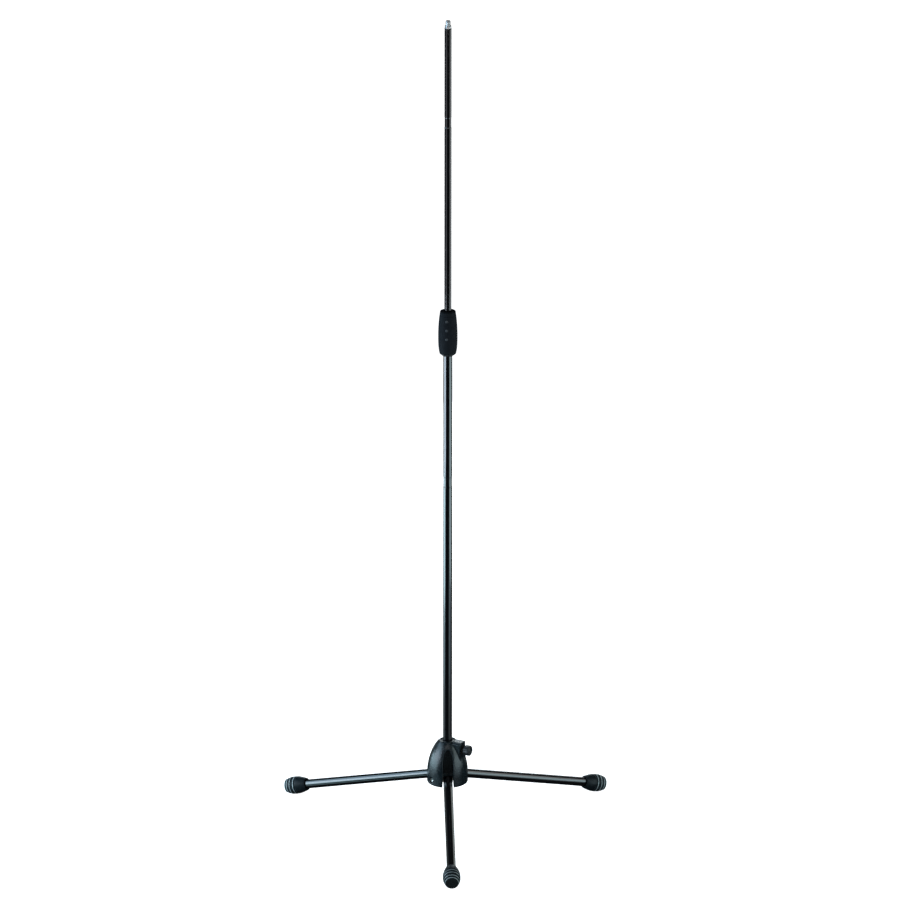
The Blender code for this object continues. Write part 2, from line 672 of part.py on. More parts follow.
def make_lug(name, leg, hinge):
    """The plug in the leg's inner end, flattened and rounded about the pivot."""
    top = LEG_TOP - FIT
    shoulder = LEG_TUBE_START - FIT
    heel_steps = 6
    outline = [(shoulder, -HEEL_RADIUS)]
    for step in range(heel_steps + 1):
        turn = -math.pi / 2 - math.pi / 2 * step / heel_steps
        outline.append((HEEL_RADIUS * math.cos(turn), HEEL_RADIUS * math.sin(turn)))
    outline += [(-LUG_SLANT_BACK, top - LUG_SLANT_DROP), (0, top), (shoulder, top)]
    on_edge = leg @ Matrix.Rotation(math.pi / 2, 4, "X")
    lug = plate(f"leg_lug_{name}", [outline], -LUG_HALF, LUG_HALF, MATT_BLACK, on_edge, hinge)
    axis = leg @ along_x(0, PIVOT_DROP)
    round_stock = rod(
        f"lug_stock_{name}", LEG_TUBE_RADIUS, -OUTSIDE, shoulder, None, axis, faces=TUBE_FACES
    )
    combine(lug, round_stock, "INTERSECT")
    plug = rod(
        f"lug_plug_{name}", LEG_TUBE_RADIUS - LEG_TUBE_WALL - FIT, shoulder - OVERLAP,
        LEG_TUBE_START + LUG_PLUG_LENGTH, None, axis,
    )
    combine(lug, plug, "UNION")
    hole = rod(
        f"lug_hole_{name}", SCREW_RADIUS + FIT, -SLOT_HALF, SLOT_HALF, None,
        leg @ Matrix.Rotation(-math.pi / 2, 4, "X"),
    )
    combine(lug, hole, "DIFFERENCE")


def make_foot(name, leg, hinge):
    """The rubber cap on the leg's outer end, cut flat where it stands on the floor."""
    end = leg @ along_x(LEG_END, PIVOT_DROP)
    profile = [(0, 0)] + [(radius, -along) for along, radius in FOOT_OUTLINE]
    profile += [(FOOT_BORE, -FOOT_LENGTH), (FOOT_BORE, -FOOT_END_WALL), (0, -FOOT_END_WALL)]
    foot = turned(
        f"leg_foot_{name}", profile, RUBBER_BLACK, end, hinge, faces=FOOT_FACES, ring=False
    )
    reach = end.translation
    floor = block(
        f"floor_{name}", (4 * FOOT_LENGTH, 4 * FOOT_LENGTH, OUTSIDE), (0, 0, -OUTSIDE / 2),
        Matrix.Translation((reach.x, reach.y, 0)),
    )
    combine(foot, floor, "DIFFERENCE")


def make_leg(index, name):
    leg = leg_frame(index)
    hinge = frame(f"leg_{name}_pivot", leg)
    make_lug(name, leg, hinge)
    sleeve(
        f"leg_tube_{name}", LEG_TUBE_RADIUS - LEG_TUBE_WALL, LEG_TUBE_RADIUS, LEG_TUBE_START,
        LEG_TUBE_START + LEG_TUBE_LENGTH, GLOSS_BLACK, leg @ along_x(0, PIVOT_DROP), hinge,
    )
    make_foot(name, leg, hinge)
    make_pivot(index, name)


def banded_tube(name, radius, wall, low, high, band_top, parent):
    """A tube with one shallow rolled band in its outer face."""
    waist = radius - BAND_DEPTH
    profile = [
        (radius, high),
        (radius, band_top),
        (waist, band_top - BAND_SHOULDER),
        (waist, band_top - BAND_LENGTH + BAND_SHOULDER),
        (radius, band_top - BAND_LENGTH),
        (radius, low),
        (radius - wall, low),
        (radius - wall, high),
    ]
    turned(name, profile, GLOSS_BLACK, MAST_AXIS, parent)


def make_mast(slide, turn):
    """The lower tube with its end plug, and the stop ring that it turns in."""
    sleeve(
        "mast_stop_ring", MAST_RADIUS + FIT, STOP_RING_RADIUS, END_PLUG_TOP + FIT,
        CORE_BOTTOM - FIT, WHITE_NYLON, MAST_AXIS, slide,
    )
    band_top = MAST_BOTTOM + MAST_BAND_START + BAND_LENGTH
    banded_tube("lower_tube", MAST_RADIUS, MAST_WALL, MAST_BOTTOM, MAST_TOP, band_top, turn)
    spigot = MAST_RADIUS - MAST_WALL - FIT
    spigot_top = END_PLUG_TOP + END_PLUG_SPIGOT
    profile = [
        (0, spigot_top),
        (spigot - END_PLUG_CHAMFER, spigot_top),
        (spigot, spigot_top - END_PLUG_CHAMFER),
        (spigot, END_PLUG_TOP),
        (STOP_RING_RADIUS, END_PLUG_TOP),
        (STOP_RING_RADIUS, END_PLUG_TOP - END_PLUG_FLANGE),
        (0, END_PLUG_TOP - END_PLUG_FLANGE),
    ]
    turned("mast_end_plug", profile, MATT_BLACK, MAST_AXIS, turn, ring=False)


def make_clutch_body(mast):
    """The collar and socket on the mast's upper end, with the spigot that the grip screws on."""
    collar_top = BODY_BOTTOM + BODY_COLLAR_HEIGHT
    socket = MAST_RADIUS + FIT
    profile = [
        (BODY_RADIUS, BODY_TOP),
        (BODY_RADIUS, collar_top),
        (BODY_COLLAR_RADIUS, collar_top),
        (BODY_COLLAR_RADIUS, BODY_BOTTOM + BODY_CHAMFER),
        (BODY_TOE_RADIUS, BODY_BOTTOM),
        (socket, BODY_BOTTOM),
        (socket, BODY_SHOULDER),
        (BODY_BORE, BODY_SHOULDER),
        (BODY_BORE, BODY_TOP),
    ]
    turned("clutch_body", profile, MATT_BLACK, MAST_AXIS, mast, faces=GRIP_FACES)


def make_collet(mast):
    """The split taper ring that grips the upper tube."""
    taper_start = COLLET_TOP - COLLET_TAPER_LENGTH
    profile = [
        (BODY_BORE + COLLET_TOP_WALL, COLLET_TOP),
        (COLLET_RADIUS, taper_start),
        (COLLET_RADIUS, COLLET_BOTTOM),
        (BODY_BORE, COLLET_BOTTOM),
        (BODY_BORE, COLLET_TOP),
    ]
    collet = turned("clutch_collet", profile, WHITE_NYLON, MAST_AXIS, mast)
    slit_bottom = COLLET_BOTTOM + COLLET_BASE_RING
    height = COLLET_TOP + OUTSIDE - slit_bottom
    for side, size in enumerate(((4 * COLLET_RADIUS, COLLET_SLIT), (COLLET_SLIT, 4 * COLLET_RADIUS))):
        slit = block(
            f"collet_slit_{side}", (*size, height), (0, 0, slit_bottom + height / 2), MAST_AXIS
        )
        combine(collet, slit, "DIFFERENCE")


def make_grip_core(grip):
    """The hard sleeve under the rubber: bore over the body, taper over the collet, and top cap."""
    taper_start = COLLET_TOP - COLLET_TAPER_LENGTH
    upper_hole = BODY_BORE + FIT
    washer_room = BODY_BORE + COLLET_TOP_WALL + FIT
    profile = [
        (GRIP_CAP_TOP_RADIUS - GRIP_CAP_ROUNDING, GRIP_TOP),
        (GRIP_CAP_TOP_RADIUS, GRIP_TOP - GRIP_CAP_ROUNDING),
        (GRIP_CAP_RADIUS, GRIP_SHOULDER),
        (GRIP_CORE_RADIUS, GRIP_SHOULDER),
        (GRIP_CORE_RADIUS, GRIP_BOTTOM),
        (GRIP_CORE_BORE, GRIP_BOTTOM),
        (GRIP_CORE_BORE, taper_start),
        (washer_room, COLLET_TOP),
        (washer_room, GRIP_SHOULDER),
        (upper_hole, GRIP_SHOULDER),
        (upper_hole, GRIP_TOP),
    ]
    turned("grip_core", profile, MATT_BLACK, MAST_AXIS, grip, faces=GRIP_FACES)


def grip_outer_radius(share):
    """Radius of the barrel at a share of the way up the rubber."""
    if share < GRIP_WIDEST:
        away = 1 - share / GRIP_WIDEST
        return GRIP_RADIUS - (GRIP_RADIUS - GRIP_BOTTOM_RADIUS) * away ** GRIP_LOWER_CURVE
    away = (share - GRIP_WIDEST) / (1 - GRIP_WIDEST)
    return GRIP_RADIUS - (GRIP_RADIUS - GRIP_TOP_RADIUS) * away ** GRIP_UPPER_CURVE


def make_grip_rubber(grip):
    """The soft barrel over the core, with a line of raised dots."""
    top = GRIP_SHOULDER - FIT
    bottom = GRIP_BOTTOM
    length = top - bottom
    steps = 10
    profile = []
    for step in range(steps + 1):
        share = 1 - step / steps
        profile.append((grip_outer_radius(share), bottom + length * share))
    profile += [(GRIP_RUBBER_BORE, bottom), (GRIP_RUBBER_BORE, top)]
    rubber = turned("grip_rubber", profile, RUBBER_BLACK, MAST_AXIS, grip, faces=GRIP_FACES)
    for index in range(GRIP_DOTS):
        height = GRIP_TOP - GRIP_DOT_BELOW_TOP - GRIP_DOT_PITCH * index
        surface = grip_outer_radius((height - bottom) / length)
        shape = bmesh.new()
        bmesh.ops.create_uvsphere(shape, u_segments=10, v_segments=6, radius=GRIP_DOT_RADIUS)
        squash = 2 * GRIP_DOT_RISE / GRIP_DOT_RADIUS
        bmesh.ops.scale(shape, verts=shape.verts, vec=(squash, 1, 1))
        mesh = bpy.data.meshes.new(f"grip_dot_{index}")
        shape.to_mesh(mesh)
        shape.free()
        outward = Matrix.Translation((surface - GRIP_DOT_RISE, 0, height))
        dot = add(f"grip_dot_{index}", mesh, None, about_mast(GRIP_DOT_AZIMUTH) @ outward)
        combine(rubber, dot, "UNION")


def make_clutch(mast):
    make_clutch_body(mast)
    make_collet(mast)
    lift = frame("clutch_lift_axis", MAST_AXIS, mast)
    grip = frame("clutch_turn_axis", MAST_AXIS, lift)
    sleeve(
        "thrust_washer", BODY_BORE + FIT, BODY_BORE + COLLET_TOP_WALL, THRUST_BOTTOM, THRUST_TOP,
        ZINC_STEEL, MAST_AXIS, lift,
    )
    make_grip_core(grip)
    make_grip_rubber(grip)


def make_upper(mast):
    """The guide plug that slides in the mast, and the upper tube and tip that turn on it."""
    slide = frame("upper_slide_axis", MAST_AXIS, mast)
    turn = frame("upper_turn_axis", MAST_AXIS, slide)
    head = MAST_RADIUS - MAST_WALL - FIT
    spigot = UPPER_RADIUS - UPPER_WALL - FIT
    groove = head - GUIDE_GROOVE_DEPTH
    groove_top = GUIDE_TOP - (GUIDE_HEAD_LENGTH - GUIDE_GROOVE_WIDTH) / 2
    profile = [
        (0, GUIDE_TOP + GUIDE_SPIGOT_LENGTH),
        (spigot, GUIDE_TOP + GUIDE_SPIGOT_LENGTH),
        (spigot, GUIDE_TOP),
        (head, GUIDE_TOP),
        (head, groove_top),
        (groove, groove_top),
        (groove, groove_top - GUIDE_GROOVE_WIDTH),
        (head, groove_top - GUIDE_GROOVE_WIDTH),
        (head, GUIDE_TOP - GUIDE_HEAD_LENGTH),
        (0, GUIDE_TOP - GUIDE_HEAD_LENGTH),
    ]
    turned("guide_plug", profile, WHITE_NYLON, MAST_AXIS, slide, ring=False)
    band_top = UPPER_TOP - UPPER_BAND_BELOW_TOP
    banded_tube("upper_tube", UPPER_RADIUS, UPPER_WALL, UPPER_BOTTOM, UPPER_TOP, band_top, turn)
    make_tip(turn)


def make_tip(turn):
    """The chrome stud: thread rings over a shoulder, on a spigot pressed into the tube."""
    spigot = UPPER_RADIUS - UPPER_WALL - FIT
    shoulder_top = TIP_BASE + TIP_SHOULDER_HEIGHT
    top = shoulder_top + TIP_THREAD_LENGTH
    root = TIP_THREAD_RADIUS - TIP_THREAD_DEPTH
    threads = int(TIP_THREAD_LENGTH / TIP_THREAD_PITCH) - 1
    profile = [(0, top), (root, top)]
    for index in range(threads):
        crest = top - TIP_THREAD_PITCH * (index + 1)
        profile.append((TIP_THREAD_RADIUS, crest))
        profile.append((root, crest - TIP_THREAD_PITCH / 2))
    profile += [
        (TIP_NECK_RADIUS, shoulder_top + TIP_NECK_HEIGHT),
        (TIP_NECK_RADIUS, shoulder_top),
        (TIP_SHOULDER_RADIUS, shoulder_top),
        (TIP_SHOULDER_RADIUS, TIP_BASE),
        (spigot, TIP_BASE),
        (spigot, TIP_BASE - TIP_SPIGOT_LENGTH),
        (0, TIP_BASE - TIP_SPIGOT_LENGTH),
    ]
    turned("tip_stud", profile, CHROME, MAST_AXIS, turn, faces=SMALL_FACES, ring=False)


make_housing()
make_liner()
make_clamp()
for leg_index, leg_name in enumerate(LEG_NAMES):
    make_leg(leg_index, leg_name)
mast_slide = frame("mast_slide_axis", MAST_AXIS)
mast_turn = frame("mast_turn_axis", MAST_AXIS, mast_slide)
make_mast(mast_slide, mast_turn)
make_clutch(mast_turn)
make_upper(mast_turn)
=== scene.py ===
import math

import bpy
import numpy as np
from mathutils import Matrix, Vector


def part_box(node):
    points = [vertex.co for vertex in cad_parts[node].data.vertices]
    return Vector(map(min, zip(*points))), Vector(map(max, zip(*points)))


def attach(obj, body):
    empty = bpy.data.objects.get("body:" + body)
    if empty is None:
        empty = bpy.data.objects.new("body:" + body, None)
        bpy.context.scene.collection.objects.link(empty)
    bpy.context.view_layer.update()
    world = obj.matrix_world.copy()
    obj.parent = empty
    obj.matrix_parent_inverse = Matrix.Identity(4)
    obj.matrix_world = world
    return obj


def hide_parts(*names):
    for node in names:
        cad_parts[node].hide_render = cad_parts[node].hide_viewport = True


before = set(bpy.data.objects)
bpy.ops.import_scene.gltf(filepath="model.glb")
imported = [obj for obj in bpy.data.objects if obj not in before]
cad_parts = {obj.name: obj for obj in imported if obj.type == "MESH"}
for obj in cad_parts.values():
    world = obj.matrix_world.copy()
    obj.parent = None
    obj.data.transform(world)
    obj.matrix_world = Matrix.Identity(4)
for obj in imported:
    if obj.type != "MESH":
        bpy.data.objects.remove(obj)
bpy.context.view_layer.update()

# Leg housing: one moulding of black nylon, a hollow dome with three pointed leg slots, three cored
# pockets open below and a boss for the clamp. The mould leaves rounded edges and a fine mottled
# grain, and the legs hang between its cheeks on pivot screws.
FIT = 0.0003
tube_low, tube_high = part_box("lower_tube")
MAST_Y = (tube_low[1] + tube_high[1]) / 2
MAST_AXIS = Matrix.Translation((0, MAST_Y, 0))
housing_low, housing_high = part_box("leg_housing")
HOUSING_BOTTOM = housing_low[2]
RIM = housing_high[2]
CORE_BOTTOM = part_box("mast_stop_ring")[1][2] + FIT
PIVOT_HEIGHT = HOUSING_BOTTOM + 0.0110
PIVOT_REACH = 0.0170
LEG_SLOPE = math.radians(15)
LEG_AZIMUTHS = {name: math.radians(turn) for name, turn in
                (("front", -90), ("right", 30), ("left", 150))}
DOME_RADIUS = 0.0402
DOME_CENTRE = HOUSING_BOTTOM + 0.0203
DOME_RISE = 0.0764
DOME_FULLNESS = 1.85
CORE_RADIUS = 0.0200
LINER_HOLE = 0.0120
FLANGE_HOLE = 0.0141
CORE_BORE = 0.0134
SLOT_HALF = 0.0105
SLOT_SHOULDER = RIM - 0.037
SLOT_POINT = RIM - 0.0125
FLARE_HEIGHT = 0.010
FLARE = 0.0008
WEB_DEPTH = 0.0048
WEB_REACH = CORE_RADIUS + 0.010
CHEEK_FACE = 0.0155
SEAT = 0.02983
PIVOT_HOLE = 0.0028
HEAD_RECESS = 0.0046
COUNTERBORE = 0.0060
COUNTERBORE_FLOOR = 0.0322
POCKET_REACH = 0.0295
POCKET_HEIGHT = 0.0316
POCKET_EDGE = 0.0012
BOSS_AZIMUTH = math.radians(-30)
BOSS_REACH = 0.0340
BOSS_HALF = 0.0115
BOSS_DEPTH = 0.040
STEP_SIDE = 0.0060
STEP_DEPTH = 0.0024
CLAMP_HEIGHT = RIM - 0.0147
EDGE = 0.0009
HOUSING_CELL = 0.0008


def meet(a, b, rounding):
    """Distance to what two shapes share, with the edge between them rounded."""
    outside = np.hypot(np.maximum(a + rounding, 0), np.maximum(b + rounding, 0))
    return np.minimum(np.maximum(a, b), -rounding) + outside


def weld(a, b, fillet):
    """Distance to two shapes together, with a fillet where they meet."""
    return -meet(-a, -b, fillet)


def turned_to(azimuth, x, y):
    """Distances out along an azimuth and to its left, from the mast axis."""
    y = y - MAST_Y
    return (x * math.cos(azimuth) + y * math.sin(azimuth),
            y * math.cos(azimuth) - x * math.sin(azimuth))


def slot_distance(out, side, z):
    """One leg's slot: a pointed arch with flared feet, and the web that an open leg bears on."""
    flare = np.clip(1 - (z - HOUSING_BOTTOM) / FLARE_HEIGHT, 0, 1) * FLARE
    straight = np.abs(side) - SLOT_HALF - flare
    rise = np.maximum((z - SLOT_SHOULDER) / (SLOT_POINT - SLOT_SHOULDER), 0)
    level = (side / SLOT_HALF) ** 2 + rise ** 1.6 - 1
    steep = np.hypot(2 * side / SLOT_HALF ** 2, 1.6 * rise ** 0.6 / (SLOT_POINT - SLOT_SHOULDER))
    arch = np.where(z > SLOT_SHOULDER, level / np.maximum(steep, 60), straight)
    roof = (z - CORE_BOTTOM + out * math.tan(LEG_SLOPE)) * math.cos(LEG_SLOPE)
    over_web = np.maximum(CORE_RADIUS - out, WEB_DEPTH - roof)
    depth = np.minimum(np.minimum(roof, over_web), WEB_REACH - out)
    return np.maximum(np.maximum(arch, depth), -out)


def housing_distance(x, y, z):
    """Distance to the whole moulding: dome, boss, bores, slots, screw holes and pockets."""
    across = np.hypot(x, y - MAST_Y)
    rise = np.clip((z - DOME_CENTRE) / DOME_RISE, 0, 0.97)
    left_over = 1 - rise ** DOME_FULLNESS
    radius = DOME_RADIUS * left_over ** (1 / DOME_FULLNESS)
    slant = radius / left_over * rise ** (DOME_FULLNESS - 1) / DOME_RISE
    dome = (across - radius) / np.sqrt(1 + slant ** 2)
    solid = meet(meet(dome, z - RIM, 0.0010), HOUSING_BOTTOM - z, 0.0035)
    out, side = turned_to(BOSS_AZIMUTH, x, y)
    boss = meet(meet(out - BOSS_REACH, np.abs(side) - BOSS_HALF, 0.0016), z - RIM, 0.0012)
    boss = np.maximum(meet(boss, RIM - BOSS_DEPTH - z, 0.0010), 0.0123 - out)
    solid = weld(solid, boss, 0.0008)
    step = np.maximum(np.maximum(side + STEP_SIDE, RIM - STEP_DEPTH - z), 0.0125 - out)
    solid = meet(solid, -step, 0.0005)
    bore = across - LINER_HOLE
    bore = np.minimum(bore, np.maximum(across - FLANGE_HOLE, RIM - 0.0040 - z))
    bore = np.minimum(bore, np.maximum(across - CORE_BORE, z - CORE_BOTTOM))
    solid = meet(solid, -bore, 0.0004)
    clamp = np.hypot(side, z - CLAMP_HEIGHT)
    screw_room = np.minimum(np.maximum(clamp - 0.0050, -out),
                            np.maximum(clamp - 0.0063, 0.0194 - out))
    solid = meet(solid, -screw_room, 0.0005)
    sides = {}
    for name, azimuth in LEG_AZIMUTHS.items():
        out, side = turned_to(azimuth, x, y)
        sides[name] = side
        solid = meet(solid, -slot_distance(out, side, z), EDGE)
        pivot = np.hypot(out - PIVOT_REACH, z - PIVOT_HEIGHT)
        hole = np.maximum(np.maximum(pivot - PIVOT_HOLE, -0.0158 - side), side - SEAT - FIT)
        solid = np.maximum(solid, -hole)
        solid = meet(solid, -np.maximum(pivot - HEAD_RECESS, SEAT - side), 0.0004)
        solid = meet(solid, -np.maximum(pivot - COUNTERBORE, COUNTERBORE_FLOOR - side), 0.0006)
    for name, after in (("front", "right"), ("right", "left"), ("left", "front")):
        out = turned_to(LEG_AZIMUTHS[name] + math.pi / 3, x, y)[0]
        pocket = meet(CHEEK_FACE - sides[name], CHEEK_FACE + sides[after], POCKET_EDGE)
        pocket = meet(pocket, out - POCKET_REACH, POCKET_EDGE)
        pocket = meet(pocket, z - HOUSING_BOTTOM - POCKET_HEIGHT, POCKET_EDGE)
        solid = meet(solid, -pocket, 0.0005)
    return solid


def mould(distance, low, high, pitch):
    """A closed mesh on the zero surface of a distance, from one vertex in each cell that it cuts."""
    lines = [np.arange(a, b + pitch, pitch) for a, b in zip(low, high)]
    grid = np.meshgrid(*lines, indexing="ij")
    value = distance(*grid)
    inside = value < 0
    cells = [len(line) - 1 for line in lines]
    corners = [(i, j, k) for i in (0, 1) for j in (0, 1) for k in (0, 1)]

    def at(corner, array):
        return array[tuple(slice(c, c + n) for c, n in zip(corner, cells))]

    filled = sum(at(corner, inside).astype(int) for corner in corners)
    cut = (filled > 0) & (filled < 8)
    number = np.full(cells, -1)
    number[cut] = np.arange(cut.sum())
    total = np.zeros((cut.sum(), 3))
    count = np.zeros((cut.sum(), 1))
    for first in corners:
        for axis in range(3):
            if first[axis]:
                continue
            second = tuple(1 if i == axis else c for i, c in enumerate(first))
            a, b = at(first, value)[cut], at(second, value)[cut]
            crossed = ((a < 0) != (b < 0))[:, None]
            along = np.tile(np.array(first, float), (len(a), 1))
            along[:, axis] = a / np.where(a == b, 1, a - b)
            total += np.where(crossed, along, 0)
            count += crossed
    points = (np.argwhere(cut) + total / count) * pitch + np.array([line[0] for line in lines])
    for _ in range(3):
        nudge = pitch * 0.05
        here = distance(*points.T)
        slope = np.stack([
            distance(*(points + nudge * step).T) - distance(*(points - nudge * step).T)
            for step in np.eye(3)
        ], axis=1) / (2 * nudge)
        steep = np.maximum((slope ** 2).sum(axis=1, keepdims=True), 0.25)
        points -= np.clip(here[:, None] * slope / steep, -pitch * 0.4, pitch * 0.4)
    quads = []
    for axis in range(3):
        u, v = [other for other in range(3) if other != axis]
        ends = [slice(1, -1)] * 3
        ends[axis] = slice(0, -1)
        here = inside[tuple(ends)]
        ends[axis] = slice(1, None)
        beyond = inside[tuple(ends)]
        places = np.argwhere(here != beyond)
        outward = here[here != beyond]
        places[:, u] += 1
        places[:, v] += 1
        ring = []
        for du, dv in ((0, 0), (-1, 0), (-1, -1), (0, -1)):
            moved = places.copy()
            moved[:, u] += du
            moved[:, v] += dv
            ring.append(number[tuple(moved.T)])
        ring = np.stack(ring, axis=1)
        forward = outward if axis != 1 else ~outward
        ring[~forward] = ring[~forward][:, ::-1]
        quads.append(ring)
    mesh = bpy.data.meshes.new("moulding")
    mesh.from_pydata(points.tolist(), [], np.concatenate(quads).tolist())
    return mesh


def finish(name, colours, patch, roughness, grain, metallic=0.0, coat=0.0, edge_wear_and_highlight=None,
           density=1.5, shine=0.5):
    """A surface finish. Its colour drifts between two shades over patches of one size, its
    roughness varies, and each grain (size, height) adds its own fine relief. A given edge colour
    lightens convex edges: edge wear, and on the moulded nylon a painted highlight."""
    made = bpy.data.materials.new(name)
    made.use_nodes = True
    nodes, links = made.node_tree.nodes, made.node_tree.links
    shader = nodes["Principled BSDF"]
    shader.inputs["Metallic"].default_value = metallic
    shader.inputs["Coat Weight"].default_value = coat
    shader.inputs["Coat Roughness"].default_value = 0.06
    shader.inputs["IOR"].default_value = density
    shader.inputs["Specular IOR Level"].default_value = shine
    place = nodes.new("ShaderNodeTexCoord").outputs["Object"]

    def noise(size, detail):
        node = nodes.new("ShaderNodeTexNoise")
        node.inputs["Scale"].default_value = 1 / size
        node.inputs["Detail"].default_value = detail
        links.new(place, node.inputs["Vector"])
        return node.outputs["Fac"]

    shade = nodes.new("ShaderNodeValToRGB")
    shade.color_ramp.elements[0].position = 0.3
    shade.color_ramp.elements[1].position = 0.7
    for stop, colour in zip(shade.color_ramp.elements, colours):
        stop.color = (*colour, 1)
    links.new(noise(patch, 4), shade.inputs["Fac"])
    colour_out = shade.outputs["Color"]
    # Convex edges lightened by the edge colour: edge wear, and on the moulded nylon a painted highlight.
    if edge_wear_and_highlight:
        edges = nodes.new("ShaderNodeMapRange")
        edges.inputs["From Min"].default_value = 0.53
        edges.inputs["From Max"].default_value = 0.66
        edges.inputs["To Max"].default_value = 0.5
        links.new(nodes.new("ShaderNodeNewGeometry").outputs["Pointiness"], edges.inputs["Value"])
        lightened = nodes.new("ShaderNodeMix")
        lightened.data_type = "RGBA"
        lightened.inputs["B"].default_value = (*edge_wear_and_highlight, 1)
        links.new(edges.outputs["Result"], lightened.inputs["Factor"])
        links.new(colour_out, lightened.inputs["A"])
        colour_out = lightened.outputs["Result"]
    links.new(colour_out, shader.inputs["Base Color"])
    sheen_map = nodes.new("ShaderNodeMapRange")
    sheen_map.inputs["From Min"].default_value = 0.3
    sheen_map.inputs["From Max"].default_value = 0.7
    sheen_map.inputs["To Min"].default_value, sheen_map.inputs["To Max"].default_value = roughness
    links.new(noise(patch * 0.4, 3), sheen_map.inputs["Value"])
    links.new(sheen_map.outputs["Result"], shader.inputs["Roughness"])
    relief = None
    for size, height in grain:
        bump = nodes.new("ShaderNodeBump")
        bump.inputs["Distance"].default_value = height
        links.new(noise(size, 3), bump.inputs["Height"])
        if relief:
            links.new(relief, bump.inputs["Normal"])
        relief = bump.outputs["Normal"]
    links.new(relief, shader.inputs["Normal"])
    return made


def add_piece(name, mesh, look, matrix, body, nodes, sharp=None):
    """Sets a made piece in its place, with the body that carries it and the node it stands for."""
    piece = bpy.data.objects.new(name, mesh)
    bpy.context.scene.collection.objects.link(piece)
    piece.matrix_world = matrix
    mesh.name = name
    mesh.materials.clear()
    mesh.materials.append(look)
    mesh.shade_smooth()
    if sharp:
        mesh.set_sharp_from_angle(angle=math.radians(sharp))
    bpy.context.view_layer.update()
    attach(piece, body)
    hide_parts(*nodes)
    return piece


# The nylon's pale edge colour is a painted highlight along the housing's edges, slots, rim and boss.
MOULDED_NYLON = finish(
    "moulded_nylon", ((0.003, 0.006, 0.008), (0.009, 0.016, 0.020)), 0.005, (0.18, 0.28),
    ((0.0036, 0.0004), (0.0012, 0.00009), (0.0004, 0.00002)), edge_wear_and_highlight=(0.10, 0.125, 0.14),
)
housing_mesh = mould(
    housing_distance,
    (-DOME_RADIUS - 0.001, MAST_Y - DOME_RADIUS - 0.001, HOUSING_BOTTOM - 0.001),
    (DOME_RADIUS + 0.001, MAST_Y + DOME_RADIUS + 0.001, RIM + 0.001),
    HOUSING_CELL,
)
add_piece("dome_moulding", housing_mesh, MOULDED_NYLON, Matrix.Identity(4), "base",
          ["leg_housing"])

# Liner: a black plastic bush that guides the sliding tube, pressed into the housing from above
# until its flange sits in the recess at the rim. A window lets the clamp's pad through.
LINER_BORE = 0.0093
LINER_RADIUS = 0.0117
FLANGE_RADIUS = 0.0138
FLANGE_THICKNESS = 0.0025
PAD_WINDOW = 0.0050


def even_turns(count):
    """Angles spread evenly round one turn."""
    return [2 * math.pi * i / count for i in range(count)]


def rounded(corners, closed=False, steps=4):
    """Rows (radius, height) from corners (radius, height, rounding), with a row close beside
    each rounding so that long faces stay flat."""
    rows = []
    for i, (radius, height, rounding) in enumerate(corners):
        here = Vector((radius, height))
        if not rounding or (not closed and i in (0, len(corners) - 1)):
            rows.append(tuple(here))
            continue
        before = Vector(corners[i - 1][:2]) - here
        after = Vector(corners[(i + 1) % len(corners)][:2]) - here
        shorter = min(before.length, after.length)
        before.normalize()
        after.normalize()
        back = min(rounding / math.tan(before.angle(after) / 2), 0.4 * shorter)
        rows.append(tuple(here + before * back * 1.15))
        for step in range(steps + 1):
            t = step / steps
            rows.append(tuple(
                (here + before * back) * (1 - t) ** 2 + here * 2 * t * (1 - t)
                + (here + after * back) * t ** 2
            ))
        rows.append(tuple(here + after * back * 1.15))
    return rows


def turned(rows, turns, closed=False):
    """A mesh turned about Z from rows (radius, height) that run down its outer side. A radius may
    be a function of the angle. A closed piece is a ring; another starts and ends on the axis."""
    points, rings, faces = [], [], []
    for radius, height in rows:
        if not callable(radius) and radius < 1e-7:
            rings.append([len(points)] * len(turns))
            points.append((0, 0, height))
            continue
        rings.append(list(range(len(points), len(points) + len(turns))))
        for turn in turns:
            reach = radius(turn) if callable(radius) else radius
            points.append((reach * math.cos(turn), reach * math.sin(turn), height))
    for upper, lower in zip(rings, rings[1:] + (rings[:1] if closed else [])):
        for i in range(len(turns)):
            face = [upper[i], lower[i], lower[(i + 1) % len(turns)], upper[(i + 1) % len(turns)]]
            corners = list(dict.fromkeys(face))
            if len(corners) > 2:
                faces.append(corners)
    mesh = bpy.data.meshes.new("turning")
    mesh.from_pydata(points, [], faces)
    return mesh


def along_x(x, z=0.0):
    """A frame at a place on X, with its Z axis along X."""
    return Matrix.Translation((x, 0, z)) @ Matrix.Rotation(math.pi / 2, 4, "Y")


def about_mast(azimuth):
    """A frame on the mast axis, turned to an azimuth."""
    return MAST_AXIS @ Matrix.Rotation(azimuth, 4, "Z")


def drill(mesh, matrix, radius, start, end, drill_matrix):
    """The mesh with a round hole through it."""
    block = bpy.data.objects.new("blank", mesh)
    block.matrix_world = matrix
    bit = bpy.data.objects.new("bit", turned([(0, end), (radius, end), (radius, start), (0, start)],
                                             even_turns(40)))
    bit.matrix_world = drill_matrix
    for item in (block, bit):
        bpy.context.scene.collection.objects.link(item)
    cut = block.modifiers.new("hole", "BOOLEAN")
    cut.object, cut.operation, cut.solver = bit, "DIFFERENCE", "EXACT"
    bpy.context.view_layer.update()
    graph = bpy.context.evaluated_depsgraph_get()
    drilled = bpy.data.meshes.new_from_object(block.evaluated_get(graph))
    for item in (block, bit):
        bpy.data.objects.remove(item, do_unlink=True)
    return drilled


